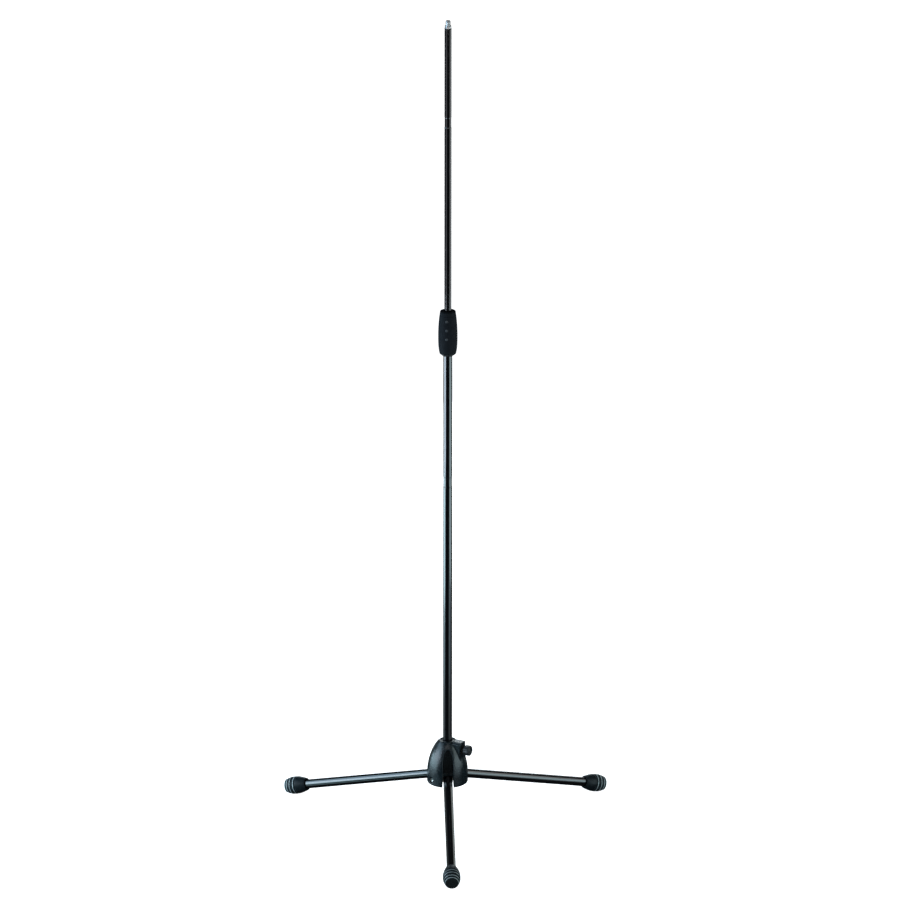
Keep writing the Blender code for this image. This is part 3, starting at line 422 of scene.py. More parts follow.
MATT_PLASTIC = finish(
    "matt_plastic", ((0.008, 0.009, 0.011), (0.015, 0.017, 0.020)), 0.006, (0.38, 0.52),
    ((0.0007, 0.00004), (0.0002, 0.00001)), edge_wear_and_highlight=(0.055, 0.058, 0.062),
)
CLAMP_AXIS = about_mast(BOSS_AZIMUTH) @ along_x(0, CLAMP_HEIGHT)
flange_top = RIM - 0.0012
liner_rows = rounded([
    (FLANGE_RADIUS, flange_top, 0.0005), (FLANGE_RADIUS, flange_top - FLANGE_THICKNESS, 0.0002),
    (LINER_RADIUS, flange_top - FLANGE_THICKNESS, 0.0002), (LINER_RADIUS, CORE_BOTTOM, 0.0004),
    (LINER_BORE, CORE_BOTTOM, 0.0004), (LINER_BORE, flange_top, 0.0006),
], closed=True)
liner_mesh = drill(turned(liner_rows, even_turns(72), closed=True), MAST_AXIS, PAD_WINDOW,
                   0, 0.030, CLAMP_AXIS)
add_piece("liner_bush", liner_mesh, MATT_PLASTIC, MAST_AXIS, "base", ["housing_liner"],
          sharp=35)

# Clamp: a brass insert moulded into the boss, an M8 zinc-plated screw that turns in it with a nylon
# pad before its tip, and a small fluted knob of black plastic moulded on the screw's outer end.
BRASS = finish("dull_brass", ((0.12, 0.085, 0.035), (0.20, 0.15, 0.07)), 0.003, (0.36, 0.52),
               ((0.0004, 0.00001),), metallic=1.0)
ZINC = finish("bright_zinc_plate", ((0.50, 0.51, 0.50), (0.66, 0.66, 0.63)), 0.003, (0.20, 0.36),
              ((0.0005, 0.00001),), metallic=1.0)
NYLON = finish("natural_nylon", ((0.60, 0.57, 0.49), (0.72, 0.70, 0.63)), 0.004, (0.38, 0.50),
               ((0.0006, 0.00002),))
CLAMP_CREST, CLAMP_ROOT, CLAMP_PITCH = 0.0040, 0.0034, 0.00125
THREAD_STEP = 0.00012


def threaded(rows_from, rows_to, crest, root, pitch, step):
    """Rows for a screw thread between two heights. It fades out at both ends."""
    rows = []
    for i in range(int(round((rows_from - rows_to) / step)) + 1):
        height = rows_from - step * i
        fade = min(rows_from - height, height - rows_to, pitch / 2) / (pitch / 2)

        def reach(turn, height=height, fade=fade):
            phase = (height / pitch - turn / (2 * math.pi)) % 1
            flank = min(max(1.45 - abs(phase - 0.5) * 3.8, 0), 1)
            return root + (crest - root) * flank * max(fade, 0)

        rows.append((reach, height))
    return rows


insert_rows = rounded([
    (0.0060, 0.0337, 0.0003), (0.0060, 0.0197, 0.0003), (0.0043, 0.0197, 0.0003),
    (0.0043, 0.0337, 0.0003),
], closed=True)
add_piece("boss_insert", turned(insert_rows, even_turns(48), closed=True), BRASS, CLAMP_AXIS, "base",
          ["clamp_insert"], sharp=35)
pad_rows = rounded([
    (0, 0.0153, 0), (0.0047, 0.0153, 0.0004), (0.0047, 0.0093, 0.0006), (0, 0.0093, 0),
])
add_piece("pressure_pad", turned(pad_rows, even_turns(40)), NYLON, CLAMP_AXIS, "clamp_pad",
          ["clamp_pad"], sharp=35)
screw_rows = [(0, 0.0468), (CLAMP_CREST, 0.0468)]
screw_rows += threaded(0.0372, 0.0160, CLAMP_CREST, CLAMP_ROOT, CLAMP_PITCH, THREAD_STEP)
screw_rows += [(0.0030, 0.0156), (0, 0.0156)]
add_piece("clamp_bolt", turned(screw_rows, even_turns(40)), ZINC, CLAMP_AXIS, "clamp_knob",
          ["clamp_screw"], sharp=60)

KNOB_FLUTES = 9


def fluted(radius, depth):
    """Radius of the knob at an angle, cut in by its flutes."""
    return lambda turn: radius - depth * (1 - math.cos(KNOB_FLUTES * turn)) / 2


knob_rows = [(0, 0.0507), (0.0036, 0.0507), (0.0040, 0.0505), (0.0044, 0.0501), (0.0050, 0.0501),
             (0.0054, 0.0505), (0.0058, 0.0509), (0.0066, 0.0512), (0.0076, 0.0512),
             (fluted(0.0087, 0.0002), 0.05115), (fluted(0.0095, 0.0006), 0.0509),
             (fluted(0.0101, 0.0007), 0.0505), (fluted(0.0104, 0.0008), 0.0499),
             (fluted(0.0105, 0.0008), 0.0491), (fluted(0.01045, 0.0008), 0.0470),
             (fluted(0.01035, 0.0008), 0.0420), (fluted(0.0103, 0.0008), 0.0408),
             (fluted(0.0100, 0.0007), 0.0401), (fluted(0.0094, 0.0005), 0.0397),
             (0.0084, 0.0396), (0.0074, 0.0396), (0.0067, 0.0394), (0.0063, 0.0389),
             (0.0062, 0.0382), (0.0062, 0.0356), (0.0061, 0.0351), (0.0058, 0.0348),
             (0.0050, 0.0348), (0.0045, 0.0350), (0.0043, 0.0354), (0.0043, 0.0468),
             (0.0043, 0.0471), (0, 0.0471)]
add_piece("fluted_knob", turned(knob_rows, even_turns(144)), MATT_PLASTIC, CLAMP_AXIS, "clamp_knob",
          ["clamp_knob"], sharp=50)

# Pivots: a black-plated M5 socket screw through each pair of cheeks, its socket in bright zinc as a
# painted glint and its lock nut in the cored pocket, with a nylon friction washer on each side of the
# lug.
SCREW_TOP = 0.03363
PIVOT_CREST, PIVOT_ROOT, PIVOT_PITCH = 0.0025, 0.0021, 0.0008
WASHER_MIDDLE = 0.00945
WASHER_HALF = 0.00075
BLACK_ZINC = finish("black_zinc_plate", ((0.006, 0.007, 0.009), (0.014, 0.016, 0.020)), 0.002,
                    (0.40, 0.55), ((0.0006, 0.00002),), metallic=1.0)


def hexagon(apothem, limit=1.0):
    """Radius of a hexagon at an angle, kept within a circle."""
    return lambda turn: min(
        apothem / math.cos((turn + math.pi / 6) % (math.pi / 3) - math.pi / 6), limit)


def screw_axis(azimuth):
    """A level frame on a pivot with its Z axis along the screw, towards the head."""
    pivot = Matrix.Translation((PIVOT_REACH, 0, PIVOT_HEIGHT))
    return about_mast(azimuth) @ pivot @ Matrix.Rotation(-math.pi / 2, 4, "X")


head_rows = [(0, SCREW_TOP - 0.0022), (hexagon(0.0019), SCREW_TOP - 0.0020),
             (hexagon(0.0020), SCREW_TOP - 0.0004), (0.0028, SCREW_TOP - 0.0002),
             (0.0030, SCREW_TOP), (0.0034, SCREW_TOP), (0.0038, SCREW_TOP - 0.0002),
             (0.0042, SCREW_TOP - 0.0006), (0.0043, SCREW_TOP - 0.0011),
             (0.0043, SCREW_TOP - 0.0033), (0.0042, SCREW_TOP - 0.0035),
             (0.0025, SCREW_TOP - 0.0035), (0.0025, -0.0060)]
head_rows += threaded(-0.0064, -0.0211, PIVOT_CREST, PIVOT_ROOT, PIVOT_PITCH, 0.00010)
head_rows += [(0.0019, -0.0215), (0, -0.0215)]
nut_face = -CHEEK_FACE - FIT
nut_rows = [(0.0030, nut_face), (hexagon(0.0038, 0.0039), nut_face),
            (hexagon(0.00398, 0.0043), nut_face - 0.0002), (hexagon(0.00398), nut_face - 0.0005),
            (hexagon(0.00398), nut_face - 0.0026), (hexagon(0.00398, 0.0043), nut_face - 0.0029),
            (0.0038, nut_face - 0.0031), (0.0037, nut_face - 0.0035), (0.0036, nut_face - 0.0042),
            (0.0033, nut_face - 0.0045), (0.0030, nut_face - 0.0045), (0.0028, nut_face - 0.0042),
            (0.0028, nut_face - 0.0002)]
for name, azimuth in LEG_AZIMUTHS.items():
    axis = screw_axis(azimuth)
    screw = add_piece(f"socket_screw_{name}", turned(head_rows, even_turns(36)), BLACK_ZINC, axis,
                      "base", [f"pivot_screw_{name}"], sharp=40)
    # The socket faces take bright zinc as a painted glint in the dark head.
    screw.data.materials.append(ZINC)
    for face in screw.data.polygons:
        middle = face.center
        if math.hypot(middle.x, middle.y) < 0.0029 and middle.z > SCREW_TOP - 0.0030:
            face.material_index = 1
    add_piece(f"lock_nut_{name}", turned(nut_rows, even_turns(48), closed=True), ZINC, axis, "base",
              [f"pivot_nut_{name}"], sharp=30)
    for side, middle in (("a", WASHER_MIDDLE), ("b", -WASHER_MIDDLE)):
        washer_rows = rounded([
            (0.0060, middle + WASHER_HALF, 0.0002), (0.0060, middle - WASHER_HALF, 0.0002),
            (0.0028, middle - WASHER_HALF, 0.0002), (0.0028, middle + WASHER_HALF, 0.0002),
        ], closed=True, steps=2)
        add_piece(f"nylon_washer_{name}_{side}", turned(washer_rows, even_turns(40), closed=True),
                  NYLON, axis, "base", [f"friction_washer_{name}_{side}"], sharp=35)

# Legs: steel tubes in gloss black paint. A moulded black lug plugs each tube's inner end, flattened
# and rounded about the pivot hole so that it folds down between the cheeks.
TUBE_START = 0.0090
TUBE_LENGTH = 0.3385
PIVOT_DROP = 0.0046
LEG_TUBE_RADIUS = 0.0090
LEG_TUBE_BORE = 0.0080
LUG_CELL = 0.0005
GLOSS_PAINT = finish(
    "gloss_black_paint", ((0.0010, 0.0012, 0.0018), (0.0018, 0.0020, 0.0028)), 0.03, (0.10, 0.17),
    ((0.0035, 0.000012), (0.0006, 0.000002)), coat=0.6, density=1.7,
)


def leg_frame(azimuth):
    """A leg's frame: on its pivot, +X out along the leg, +Y along the pivot screw."""
    pivot = Matrix.Translation((PIVOT_REACH, 0, PIVOT_HEIGHT))
    return about_mast(azimuth) @ pivot @ Matrix.Rotation(LEG_SLOPE, 4, "Y")


def lug_distance(x, y, z):
    """Distance to a lug: a block rounded about its pivot hole, and a round plug for the tube."""
    heel = np.where((x < 0) & (z < 0), np.hypot(x, z) - 0.0044,
                    np.where(x < 0, -0.0044 - x, -0.0044 - z))
    slant = (-(x + 0.0044) * 0.0123 + z * 0.0031) / math.hypot(0.0123, 0.0031)
    corner = (-(x + 0.0013) * 0.0010 + (z - 0.0123) * 0.0013) / math.hypot(0.0010, 0.0013)
    side_view = np.maximum(np.maximum(heel, slant), corner)
    side_view = np.maximum(np.maximum(side_view, z - 0.0133), x - 0.0087)
    stock = np.hypot(y, z - PIVOT_DROP)
    block = meet(meet(side_view, np.abs(y) - 0.0084, 0.0007), stock - 0.0090, 0.0005)
    plug = meet(np.maximum(stock - 0.0077, 0.0067 - x), x - 0.0390, 0.0012)
    return np.maximum(np.minimum(block, plug), 0.0028 - np.hypot(x, z))


lug_mesh = mould(lug_distance, (-0.0056, -0.0096, -0.0056), (0.0400, 0.0096, 0.0146), LUG_CELL)
tube_end = TUBE_START + TUBE_LENGTH
leg_tube_rows = rounded([
    (LEG_TUBE_RADIUS, tube_end, 0.0003), (LEG_TUBE_RADIUS, TUBE_START, 0.0003),
    (LEG_TUBE_BORE, TUBE_START, 0.0003), (LEG_TUBE_BORE, tube_end, 0.0003),
], closed=True, steps=3)

# Feet: moulded rubber caps pushed over the tube ends, with a thin flared mouth, a rim and three ribs
# near the end whose lips carry a painted highlight in pale rubber, and a flat from wear where each stands
# on the floor.
FOOT_LENGTH = 0.0465
FOOT_END = tube_end + 0.0063
FOOT_LIPS = (0.0010, 0.0068, 0.0145, 0.0225)
LIP_DEPTH = 0.0014
LIP_FALL = 0.0028
LIP_RISE = 0.0020
RUBBER = finish(
    "grained_rubber", ((0.002, 0.004, 0.006), (0.014, 0.020, 0.023)), 0.003, (0.30, 0.44),
    ((0.0026, 0.00040), (0.0008, 0.00006)), shine=0.16,
)
# Pale rubber for the rib lips: a painted highlight where light catches the crests.
LIP_HIGHLIGHT_RUBBER = finish(
    "painted_lip_highlight_rubber", ((0.16, 0.20, 0.21), (0.52, 0.60, 0.62)), 0.003, (0.45, 0.60),
    ((0.0008, 0.00006),),
)


def foot_radius(along):
    """Radius of the ribbed foot at a distance from its end face."""
    if along < 0.018:
        radius = 0.0134 + 0.0041 * math.sin(math.pi / 2 * along / 0.018)
    else:
        radius = 0.0175 - 0.0055 * (max(along - 0.024, 0) / 0.0225) ** 1.5
    for lip in FOOT_LIPS:
        past = along - lip
        if 0 < past < LIP_FALL:
            radius -= LIP_DEPTH * past / LIP_FALL
        elif 0 < past < LIP_FALL + LIP_RISE:
            radius -= LIP_DEPTH * (1 - (past - LIP_FALL) / LIP_RISE)
    return radius


foot_rows = [(0, -0.0003), (0.0040, -0.00025), (0.0090, -0.0001), (0.0116, 0.0),
             (0.0126, -0.0001), (0.0132, -0.0004), (foot_radius(0.0010) - 0.0001, -0.0010)]
foot_rows += [(foot_radius(0.0014 + 0.0004 * i), -0.0014 - 0.0004 * i) for i in range(67)]
foot_rows += [(foot_radius(0.0290 + 0.0012 * i), -0.0290 - 0.0012 * i) for i in range(14)]
foot_rows += [(foot_radius(0.0458), -0.0458), (0.01190, -0.0463), (0.0115, -FOOT_LENGTH),
              (0.0109, -FOOT_LENGTH), (0.0105, -0.0463), (0.0103, -0.0457), (0.0098, -0.0440),
              (0.0093, -0.0425), (0.0093, -0.0240), (0.0093, -0.0063), (0.0090, -0.0060),
              (0, -0.0060)]

for name, azimuth in LEG_AZIMUTHS.items():
    leg = leg_frame(azimuth)
    add_piece(f"hinge_lug_{name}", lug_mesh.copy(), MATT_PLASTIC, leg, f"leg_{name}",
              [f"leg_lug_{name}"])
    add_piece(f"painted_leg_{name}", turned(leg_tube_rows, even_turns(64), closed=True), GLOSS_PAINT,
              leg @ along_x(0, PIVOT_DROP), f"leg_{name}", [f"leg_tube_{name}"],
              sharp=40)
    foot_mesh = turned(foot_rows, even_turns(80))
    # Faces on the rib lips take the pale rubber as a painted highlight.
    lip_highlight_faces = [min(abs(face.center.z + lip) for lip in FOOT_LIPS) < 0.0006
               and face.center.xy.length > 0.0125 for face in foot_mesh.polygons]
    foot_mesh.transform(leg @ along_x(FOOT_END, PIVOT_DROP))
    for point in foot_mesh.vertices:
        point.co.z = max(point.co.z, 0)
    add_piece(f"ribbed_foot_{name}", foot_mesh, RUBBER, Matrix.Identity(4), f"leg_{name}",
              [f"leg_foot_{name}"], sharp=55)
    foot_mesh.materials.append(LIP_HIGHLIGHT_RUBBER)
    foot_mesh.polygons.foreach_set("material_index", [int(lightened) for lightened in lip_highlight_faces])

# Mast: the lower steel tube in gloss black paint, with one shallow rolled band. A black plug in its
# lower end has a flange, and a white stop ring turns between that flange and the housing's core.
MAST_BOTTOM = tube_low[2]
MAST_TOP = tube_high[2]
MAST_RADIUS = 0.0090
TUBE_WALL = 0.0010
BAND_LENGTH = 0.022
BAND_SHOULDER = 0.0019
BAND_DEPTH = 0.0004
STOP_RING_HEIGHT = 0.007


def band_radius(radius, height, band_top):
    """Radius of a tube beside or in its rolled band, 22 mm long with soft shoulders."""
    into = min(band_top - height, height - band_top + BAND_LENGTH)
    share = min(max(into / BAND_SHOULDER, 0), 1)
    return radius - BAND_DEPTH * math.sin(math.pi / 2 * share) ** 2


def tube_rows(radius, low, high, band_top):
    """Rows for a painted tube, close together at the two shoulders of its band."""
    heights = [band_top + 0.0004 - 0.0002 * i for i in range(13)]
    heights += [band_top - 0.011]
    heights += [band_top - 0.0198 - 0.0002 * i for i in range(13)]
    rows = [(radius - 0.0003, high), (radius - 0.0001, high - 0.0001), (radius, high - 0.0003),
            (radius, high - 0.0008)]
    rows += [(band_radius(radius, height, band_top), height) for height in heights]
    rows += [(radius, low + 0.0008), (radius, low + 0.0003), (radius - 0.0001, low + 0.0001),
             (radius - 0.0003, low), (radius - TUBE_WALL, low), (radius - TUBE_WALL, high)]
    return rows


mast_mesh = turned(tube_rows(MAST_RADIUS, MAST_BOTTOM, MAST_TOP, MAST_BOTTOM + 0.618),
                   even_turns(72), True)
add_piece("painted_mast", mast_mesh, GLOSS_PAINT, MAST_AXIS, "mast", ["lower_tube"],
          sharp=50)
ring_low, ring_high = CORE_BOTTOM - FIT - STOP_RING_HEIGHT, CORE_BOTTOM - FIT
ring_rows = rounded([
    (0.0118, ring_high, 0.0005), (0.0118, ring_low, 0.0005), (0.0093, ring_low, 0.0003),
    (0.0093, ring_high, 0.0003),
], closed=True)
add_piece("stop_ring", turned(ring_rows, even_turns(64), closed=True), NYLON, MAST_AXIS, "mast_stop",
          ["mast_stop_ring"], sharp=35)
plug_top = MAST_BOTTOM - FIT
plug_rows = rounded([
    (0, plug_top + 0.022, 0), (0.0077, plug_top + 0.022, 0.0014), (0.0077, plug_top, 0.0002),
    (0.0118, plug_top, 0.0003), (0.0118, plug_top - 0.003, 0.0007),
    (0.0030, plug_top - 0.003, 0.0003), (0.0026, plug_top - 0.0022, 0.0003),
    (0, plug_top - 0.0022, 0),
])
add_piece("flanged_plug", turned(plug_rows, even_turns(64)), MATT_PLASTIC, MAST_AXIS, "mast",
          ["mast_end_plug"], sharp=35)

# Clutch: a hard black body fixed on the mast's upper end, with a chamfered collar. The grip screws
# down on it and squeezes a split nylon collet round the upper tube, through a zinc thrust washer.
body_low, body_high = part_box("clutch_body")
BODY_BOTTOM, BODY_TOP = body_low[2], body_high[2]
SHOULDER = MAST_TOP + FIT
body_rows = rounded([
    (0.0122, BODY_TOP, 0.0004), (0.0122, BODY_BOTTOM + 0.0055, 0.0002),
    (0.0162, BODY_BOTTOM + 0.0055, 0.0003), (0.0162, BODY_BOTTOM + 0.0042, 0.0005),
    (0.0108, BODY_BOTTOM, 0.0004), (0.0093, BODY_BOTTOM, 0.0003), (0.0093, SHOULDER, 0.0002),
    (0.0073, SHOULDER, 0.0003), (0.0073, BODY_TOP, 0.0003),
], closed=True)
add_piece("clutch_socket", turned(body_rows, even_turns(80), closed=True), MATT_PLASTIC, MAST_AXIS,
          "mast", ["clutch_body"], sharp=35)
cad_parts["clutch_collet"].material_slots[0].material = NYLON
washer_low, washer_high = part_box("thrust_washer")
thrust_rows = rounded([
    (0.0095, washer_high[2], 0.0002), (0.0095, washer_low[2], 0.0002),
    (0.0076, washer_low[2], 0.0002), (0.0076, washer_high[2], 0.0002),
], closed=True, steps=2)
add_piece("zinc_thrust_washer", turned(thrust_rows, even_turns(64), closed=True), ZINC, MAST_AXIS,
          "clutch_washer", ["thrust_washer"], sharp=35)

# Grip: a hard core with a cap, and moulded over it a barrel of soft black rubber with three small
# raised dots in a line. The cap has the same dull black finish as the barrel.
core_low, core_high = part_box("grip_core")
GRIP_BOTTOM, GRIP_TOP = core_low[2], core_high[2]
CAP_SHOULDER = GRIP_TOP - 0.007
COLLET_TOP = washer_low[2] - FIT
core_rows = rounded([
    (0.0153, GRIP_TOP, 0.0008), (0.0162, CAP_SHOULDER, 0.0001), (0.0143, CAP_SHOULDER, 0),
    (0.0143, GRIP_BOTTOM, 0.0002), (0.0125, GRIP_BOTTOM, 0.0002), (0.0125, COLLET_TOP - 0.015, 0),
    (0.0098, COLLET_TOP, 0), (0.0098, CAP_SHOULDER, 0), (0.0076, CAP_SHOULDER, 0),
    (0.0076, GRIP_TOP, 0.0006),
], closed=True)
RUBBER_TOP = CAP_SHOULDER - FIT
SOFT_RUBBER = finish(
    "soft_grip_rubber", ((0.0085, 0.0110, 0.0145), (0.0125, 0.0155, 0.0195)), 0.008, (0.66, 0.78),
    ((0.0009, 0.00003), (0.0003, 0.000015)), shine=0.08,
)
add_piece("grip_sleeve", turned(core_rows, even_turns(80), closed=True), SOFT_RUBBER, MAST_AXIS,
          "clutch_grip", ["grip_core"], sharp=40)
POLISHED_RUBBER = finish(
    "polished_dot_rubber", ((0.030, 0.034, 0.040), (0.044, 0.048, 0.054)), 0.002, (0.34, 0.44),
    ((0.0006, 0.00002),),
)
DOT_AZIMUTH = math.radians(-98)
DOT_RADIUS = 0.0028
DOT_HEIGHTS = [GRIP_TOP - 0.0166 - 0.0182 * i for i in range(3)]


def barrel_radius(height):
    """Radius of the plain barrel, widest a little below its middle."""
    share = (height - GRIP_BOTTOM) / (RUBBER_TOP - GRIP_BOTTOM)
    if share < 0.44:
        return 0.0190 - 0.0024 * (1 - share / 0.44) ** 3
    return 0.0190 - 0.0027 * ((share - 0.44) / 0.56) ** 2.1


def barrel_reach(height, edge=0.0):
    """Radius at an angle: the barrel, and on it the low domes of the dots."""
    plain = barrel_radius(height) - edge
    dot = min(DOT_HEIGHTS, key=lambda middle: abs(middle - height))

    def reach(turn):
        around = (turn - DOT_AZIMUTH + math.pi) % (2 * math.pi) - math.pi
        away = math.hypot(around * plain, height - dot) / DOT_RADIUS
        rise = 0.0009 * math.sqrt(max(1 - away ** 2, 0)) if away < 1 else 0
        return plain + rise

    return reach


barrel_heights = {RUBBER_TOP - 0.0006, GRIP_BOTTOM + 0.0006}
steps = 60
for i in range(1, steps):
    barrel_heights.add(GRIP_BOTTOM + (RUBBER_TOP - GRIP_BOTTOM) * i / steps)
for middle in DOT_HEIGHTS:
    for i in range(-13, 14):
        barrel_heights.add(middle + 0.00025 * i)
barrel_heights = sorted(barrel_heights, reverse=True)
kept = [barrel_heights[0]]
for height in barrel_heights[1:]:
    if kept[-1] - height > 0.00012:
        kept.append(height)
barrel_rows = [(barrel_reach(RUBBER_TOP, 0.0006), RUBBER_TOP),
               (barrel_reach(RUBBER_TOP, 0.00015), RUBBER_TOP - 0.00015)]
barrel_rows += [(barrel_reach(height), height) for height in kept]
barrel_rows += [(barrel_reach(GRIP_BOTTOM, 0.00015), GRIP_BOTTOM + 0.00015),
                (barrel_reach(GRIP_BOTTOM, 0.0006), GRIP_BOTTOM),
                (0.0146, GRIP_BOTTOM), (0.0146, RUBBER_TOP)]
barrel_turns = [turn for turn in even_turns(90)
                if abs((turn - DOT_AZIMUTH + math.pi) % (2 * math.pi) - math.pi) > 0.19]
barrel_turns += [(DOT_AZIMUTH + 0.0135 * i) % (2 * math.pi) for i in range(-13, 14)]
barrel = add_piece("rubber_barrel", turned(barrel_rows, sorted(barrel_turns), closed=True),
                   SOFT_RUBBER, MAST_AXIS, "clutch_grip", ["grip_rubber"], sharp=60)
barrel.data.materials.append(POLISHED_RUBBER)
for face in barrel.data.polygons:
    around = math.atan2(face.center.y, face.center.x) - DOT_AZIMUTH
    around = (around + math.pi) % (2 * math.pi) - math.pi
    reach = math.hypot(face.center.x, face.center.y)
    away = min(math.hypot(around * reach, face.center.z - middle) for middle in DOT_HEIGHTS)
    if away < DOT_RADIUS * 0.97 and reach > 0.0150:
        face.material_index = 1

# Upper tube: thinner steel in the same gloss paint, with its own rolled band. It slides in the mast
# on a white guide plug and turns on that plug's spigot.
guide_low, guide_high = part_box("guide_plug")
GUIDE_TOP = guide_low[2] + 0.016
UPPER_RADIUS = 0.0070
guide_rows = rounded([
    (0, guide_high[2], 0), (0.0057, guide_high[2], 0.0008), (0.0057, GUIDE_TOP, 0.0002),
    (0.0077, GUIDE_TOP, 0.0005), (0.0077, GUIDE_TOP - 0.006, 0.0003),
    (0.0069, GUIDE_TOP - 0.006, 0.0003), (0.0069, GUIDE_TOP - 0.010, 0.0003),
    (0.0077, GUIDE_TOP - 0.010, 0.0003),
    (0.0077, guide_low[2], 0.0006), (0, guide_low[2], 0),
])
add_piece("guide_bush", turned(guide_rows, even_turns(48)), NYLON, MAST_AXIS, "upper_guide",
          ["guide_plug"], sharp=35)
upper_low, upper_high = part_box("upper_tube")
upper_mesh = turned(tube_rows(UPPER_RADIUS, upper_low[2], upper_high[2], upper_high[2] - 0.184),
                    even_turns(64), True)
add_piece("painted_upper_tube", upper_mesh, GLOSS_PAINT, MAST_AXIS, "upper_mast", ["upper_tube"],
          sharp=50)

# Tip: a turned steel stud in bright chrome, pressed into the upper tube, with a round shoulder and a
# short plain neck under a 3/8 inch thread for the microphone clip.
TIP_BASE = upper_high[2] + FIT
TIP_SHOULDER = TIP_BASE + 0.005
TIP_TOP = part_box("tip_stud")[1][2]
TIP_CREST, TIP_ROOT, TIP_PITCH = 0.00476, 0.00386, 0.0015875
CHROME = finish("bright_chrome", ((0.80, 0.81, 0.83), (0.90, 0.91, 0.92)), 0.004, (0.18, 0.28),
                ((0.0015, 0.000004),), metallic=1.0)
tip_rows = [(0, TIP_TOP), (0.0034, TIP_TOP), (0.0038, TIP_TOP - 0.0002)]
tip_rows += threaded(TIP_TOP - 0.0004, TIP_SHOULDER + 0.0012, TIP_CREST, TIP_ROOT, TIP_PITCH,
                     THREAD_STEP)
tip_rows += rounded([
    (0.0046, TIP_SHOULDER + 0.0008, 0), (0.0048, TIP_SHOULDER + 0.0006, 0),
    (0.0048, TIP_SHOULDER, 0.0002), (0.0064, TIP_SHOULDER, 0.0006), (0.0064, TIP_BASE, 0.0005),
    (0.0057, TIP_BASE, 0.0001), (0.0057, TIP_BASE - 0.022, 0.0008), (0, TIP_BASE - 0.022, 0),
])
add_piece("clip_stud", turned(tip_rows, even_turns(64)), CHROME, MAST_AXIS, "upper_mast",
          ["tip_stud"], sharp=50)

# Studio: a plain white floor, a bank of soft lights on each side that fades towards the floor, low
# ones behind, weak ones overhead and underfoot, and a long lens far back, a little above the stand.
CAMERA_TURN = math.radians(-1.4)
CAMERA_RISE = math.radians(20.4)
CAMERA_ROLL = math.radians(0.045)
CAMERA_DISTANCE = 60
SENSOR_WIDTH = 36
VIEW_WIDTH = 1.764
AIM_HEIGHT = 0.784
AIM_RIGHT = 0.0044
BANK_DISTANCE = 1.2
FLOOR_RADIUS = 14
view_right = Vector((math.cos(CAMERA_TURN), math.sin(CAMERA_TURN), 0))
view_level = Vector((math.sin(CAMERA_TURN), -math.cos(CAMERA_TURN), 0))
view_back = view_level * math.cos(CAMERA_RISE) + Vector((0, 0, math.sin(CAMERA_RISE)))

lens = bpy.data.cameras.new("lens")
lens.sensor_width = SENSOR_WIDTH
lens.lens = SENSOR_WIDTH * CAMERA_DISTANCE / VIEW_WIDTH
lens.clip_end = 200
camera = bpy.data.objects.new("camera", lens)
bpy.context.scene.collection.objects.link(camera)
aim = Vector((0, MAST_Y, AIM_HEIGHT)) + view_right * AIM_RIGHT
camera.location = aim + view_back * CAMERA_DISTANCE
level = (-view_back).to_track_quat("-Z", "Y").to_matrix()
camera.rotation_euler = (level @ Matrix.Rotation(CAMERA_ROLL, 3, "Z")).to_euler()
bpy.context.scene.camera = camera
bpy.context.scene.view_settings.view_transform = "Standard"


def softbox(name, turn, low, high, width, brightness, colour, distance=2.4, tilt=0.0):
    """A soft upright rectangle of light, turned to the right of the camera by an angle."""
    lamp = bpy.data.lights.new(name, "AREA")
    lamp.shape = "RECTANGLE"
    lamp.size, lamp.size_y = width, high - low
    lamp.energy = brightness * math.pi * width * (high - low)
    lamp.color = colour
    item = bpy.data.objects.new(name, lamp)
    bpy.context.scene.collection.objects.link(item)
    out = view_level * math.cos(turn) + view_right * math.sin(turn)
    item.location = Vector((0, MAST_Y, (low + high) / 2)) + out * distance
    facing = -out - Vector((0, 0, tilt))
    item.rotation_euler = facing.to_track_quat("-Z", "Y").to_euler()
    item.visible_camera = False
    return item


for name, turn, low, high, width, brightness, colour in (
    ("left_ground", -72, -0.80, -0.36, 1.2, 1.0, (0.56, 0.88, 1.0)),
    ("left_base", -96, -0.30, -0.17, 1.2, 0.6, (0.80, 0.93, 1.0)),
    ("left_low", -96, -0.17, 0.0, 1.3, 1.8, (0.60, 0.87, 1.0)),
    ("left_middle", -92, 0.0, 0.28, 1.35, 6.0, (0.62, 0.88, 1.0)),
    ("left_main", -76, 0.28, 0.60, 1.1, 7.0, (0.70, 0.85, 1.0)),
    ("left_high", -56, 0.60, 1.24, 1.0, 0.55, (0.90, 0.91, 1.0)),
    ("right_ground", 42, -0.80, -0.36, 0.7, 0.15, (0.80, 0.95, 1.0)),
    ("right_base", 52, -0.30, -0.17, 1.0, 0.45, (0.90, 0.96, 1.0)),
    ("right_low", 54, -0.17, 0.05, 1.0, 1.1, (0.66, 0.86, 1.0)),
    ("right_main", 68, 0.05, 0.60, 1.2, 2.7, (0.72, 0.94, 1.0)),
    ("right_high", 84, 0.60, 1.24, 1.1, 1.4, (0.93, 0.97, 1.0)),
    ("tip_light", 0, 1.32, 1.60, 1.4, 2.2, (1.0, 1.0, 1.0)),
):
    softbox(name, math.radians(turn), low, high, width, brightness, colour, distance=BANK_DISTANCE)
softbox("left_leg_light", math.radians(-86), 1.1, 2.6, 2.8, 2.8, (0.54, 0.80, 1.0))
softbox("left_dome_light", math.radians(-70), 1.10, 1.50, 0.40, 6, (0.42, 0.82, 1.0))
softbox("right_leg_light", math.radians(62), 1.15, 2.3, 1.3, 1.6, (0.72, 1.0, 0.98))
softbox("right_back_light", math.radians(147), -0.3, 1.2, 1.4, 0.8, (0.92, 1.0, 0.98))
softbox("left_back_light", math.radians(-149), -0.3, 0.9, 1.4, 0.20, (0.92, 1.0, 1.0))
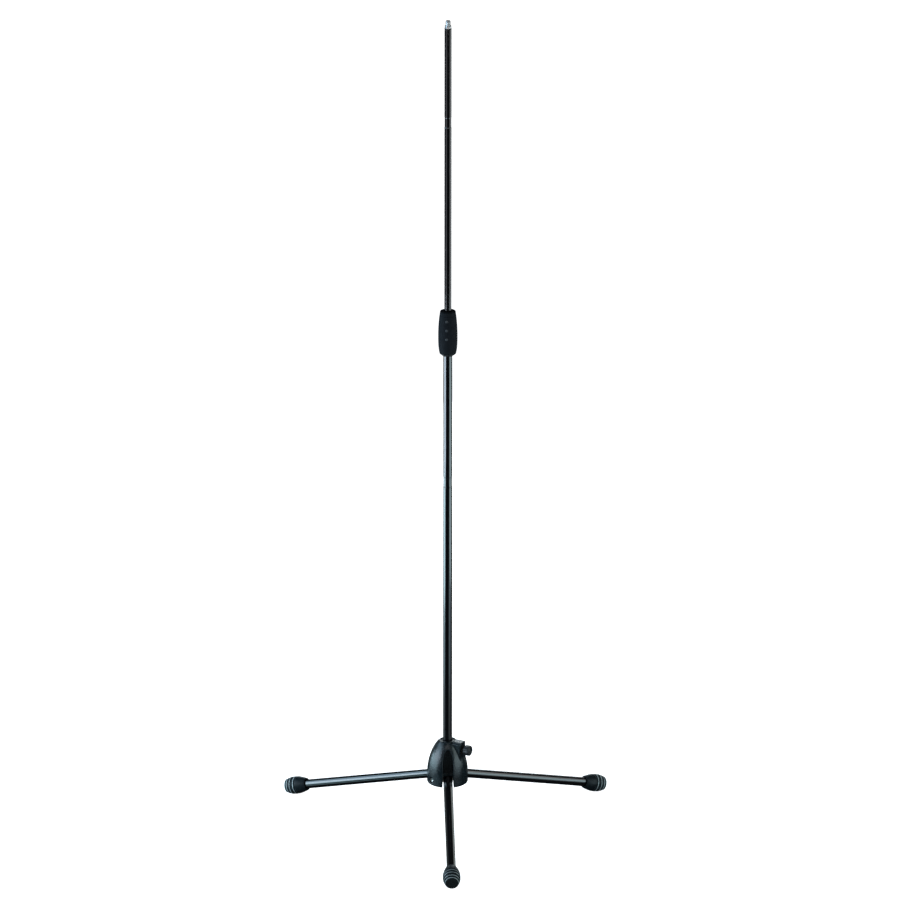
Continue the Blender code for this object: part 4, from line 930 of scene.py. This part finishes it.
softbox("low_back_light", math.radians(180), 0.05, 1.05, 0.8, 4.0, (0.84, 0.95, 1.0))
softbox("high_back_light", math.radians(180), 2.5, 3.3, 0.30, 0.5, (0.9, 1.0, 1.0))
softbox("top_light", 0, 3.0, 4.6, 1.6, 0.5, (1.0, 1.0, 1.0), distance=0.7, tilt=5.0)
softbox("foot_light", 0, -0.7, -0.1, 0.6, 0.4, (0.75, 0.95, 1.0), distance=0.75, tilt=-5.0)

floor_mesh = bpy.data.meshes.new("floor")
floor_turns = even_turns(96)
floor_mesh.from_pydata(
    [(FLOOR_RADIUS * math.cos(turn), FLOOR_RADIUS * math.sin(turn), -0.0002) for turn in floor_turns], [],
    [list(range(len(floor_turns)))])
floor = bpy.data.objects.new("studio_floor", floor_mesh)
bpy.context.scene.collection.objects.link(floor)
PAPER = finish("white_paper", ((0.80, 0.80, 0.80), (0.84, 0.84, 0.84)), 0.4, (0.75, 0.85),
               ((0.004, 0.00005),))
PAPER.node_tree.nodes["Principled BSDF"].inputs["Emission Color"].default_value = (1, 1, 1, 1)
PAPER.node_tree.nodes["Principled BSDF"].inputs["Emission Strength"].default_value = 1.0
floor_mesh.materials.append(PAPER)
floor.visible_glossy = False
floor.visible_diffuse = False
floor.visible_shadow = False

world = bpy.data.worlds.new("studio")
world.use_nodes = True
sky, tree = world.node_tree.nodes, world.node_tree
room = sky["Background"]
room.inputs["Color"].default_value = (0.93, 0.96, 1.0, 1)
room.inputs["Strength"].default_value = 0.12
dark = sky.new("ShaderNodeBackground")
dark.inputs["Color"].default_value = (0.9, 0.95, 1.0, 1)
dark.inputs["Strength"].default_value = 0.02
white = sky.new("ShaderNodeBackground")
white.inputs["Color"].default_value = (1, 1, 1, 1)
path = sky.new("ShaderNodeLightPath")
shiny, seen = sky.new("ShaderNodeMixShader"), sky.new("ShaderNodeMixShader")
tree.links.new(path.outputs["Is Glossy Ray"], shiny.inputs["Fac"])
tree.links.new(room.outputs["Background"], shiny.inputs[1])
tree.links.new(dark.outputs["Background"], shiny.inputs[2])
tree.links.new(path.outputs["Is Camera Ray"], seen.inputs["Fac"])
tree.links.new(shiny.outputs["Shader"], seen.inputs[1])
tree.links.new(white.outputs["Background"], seen.inputs[2])
tree.links.new(seen.outputs["Shader"], sky["World Output"].inputs["Surface"])
bpy.context.scene.world = world
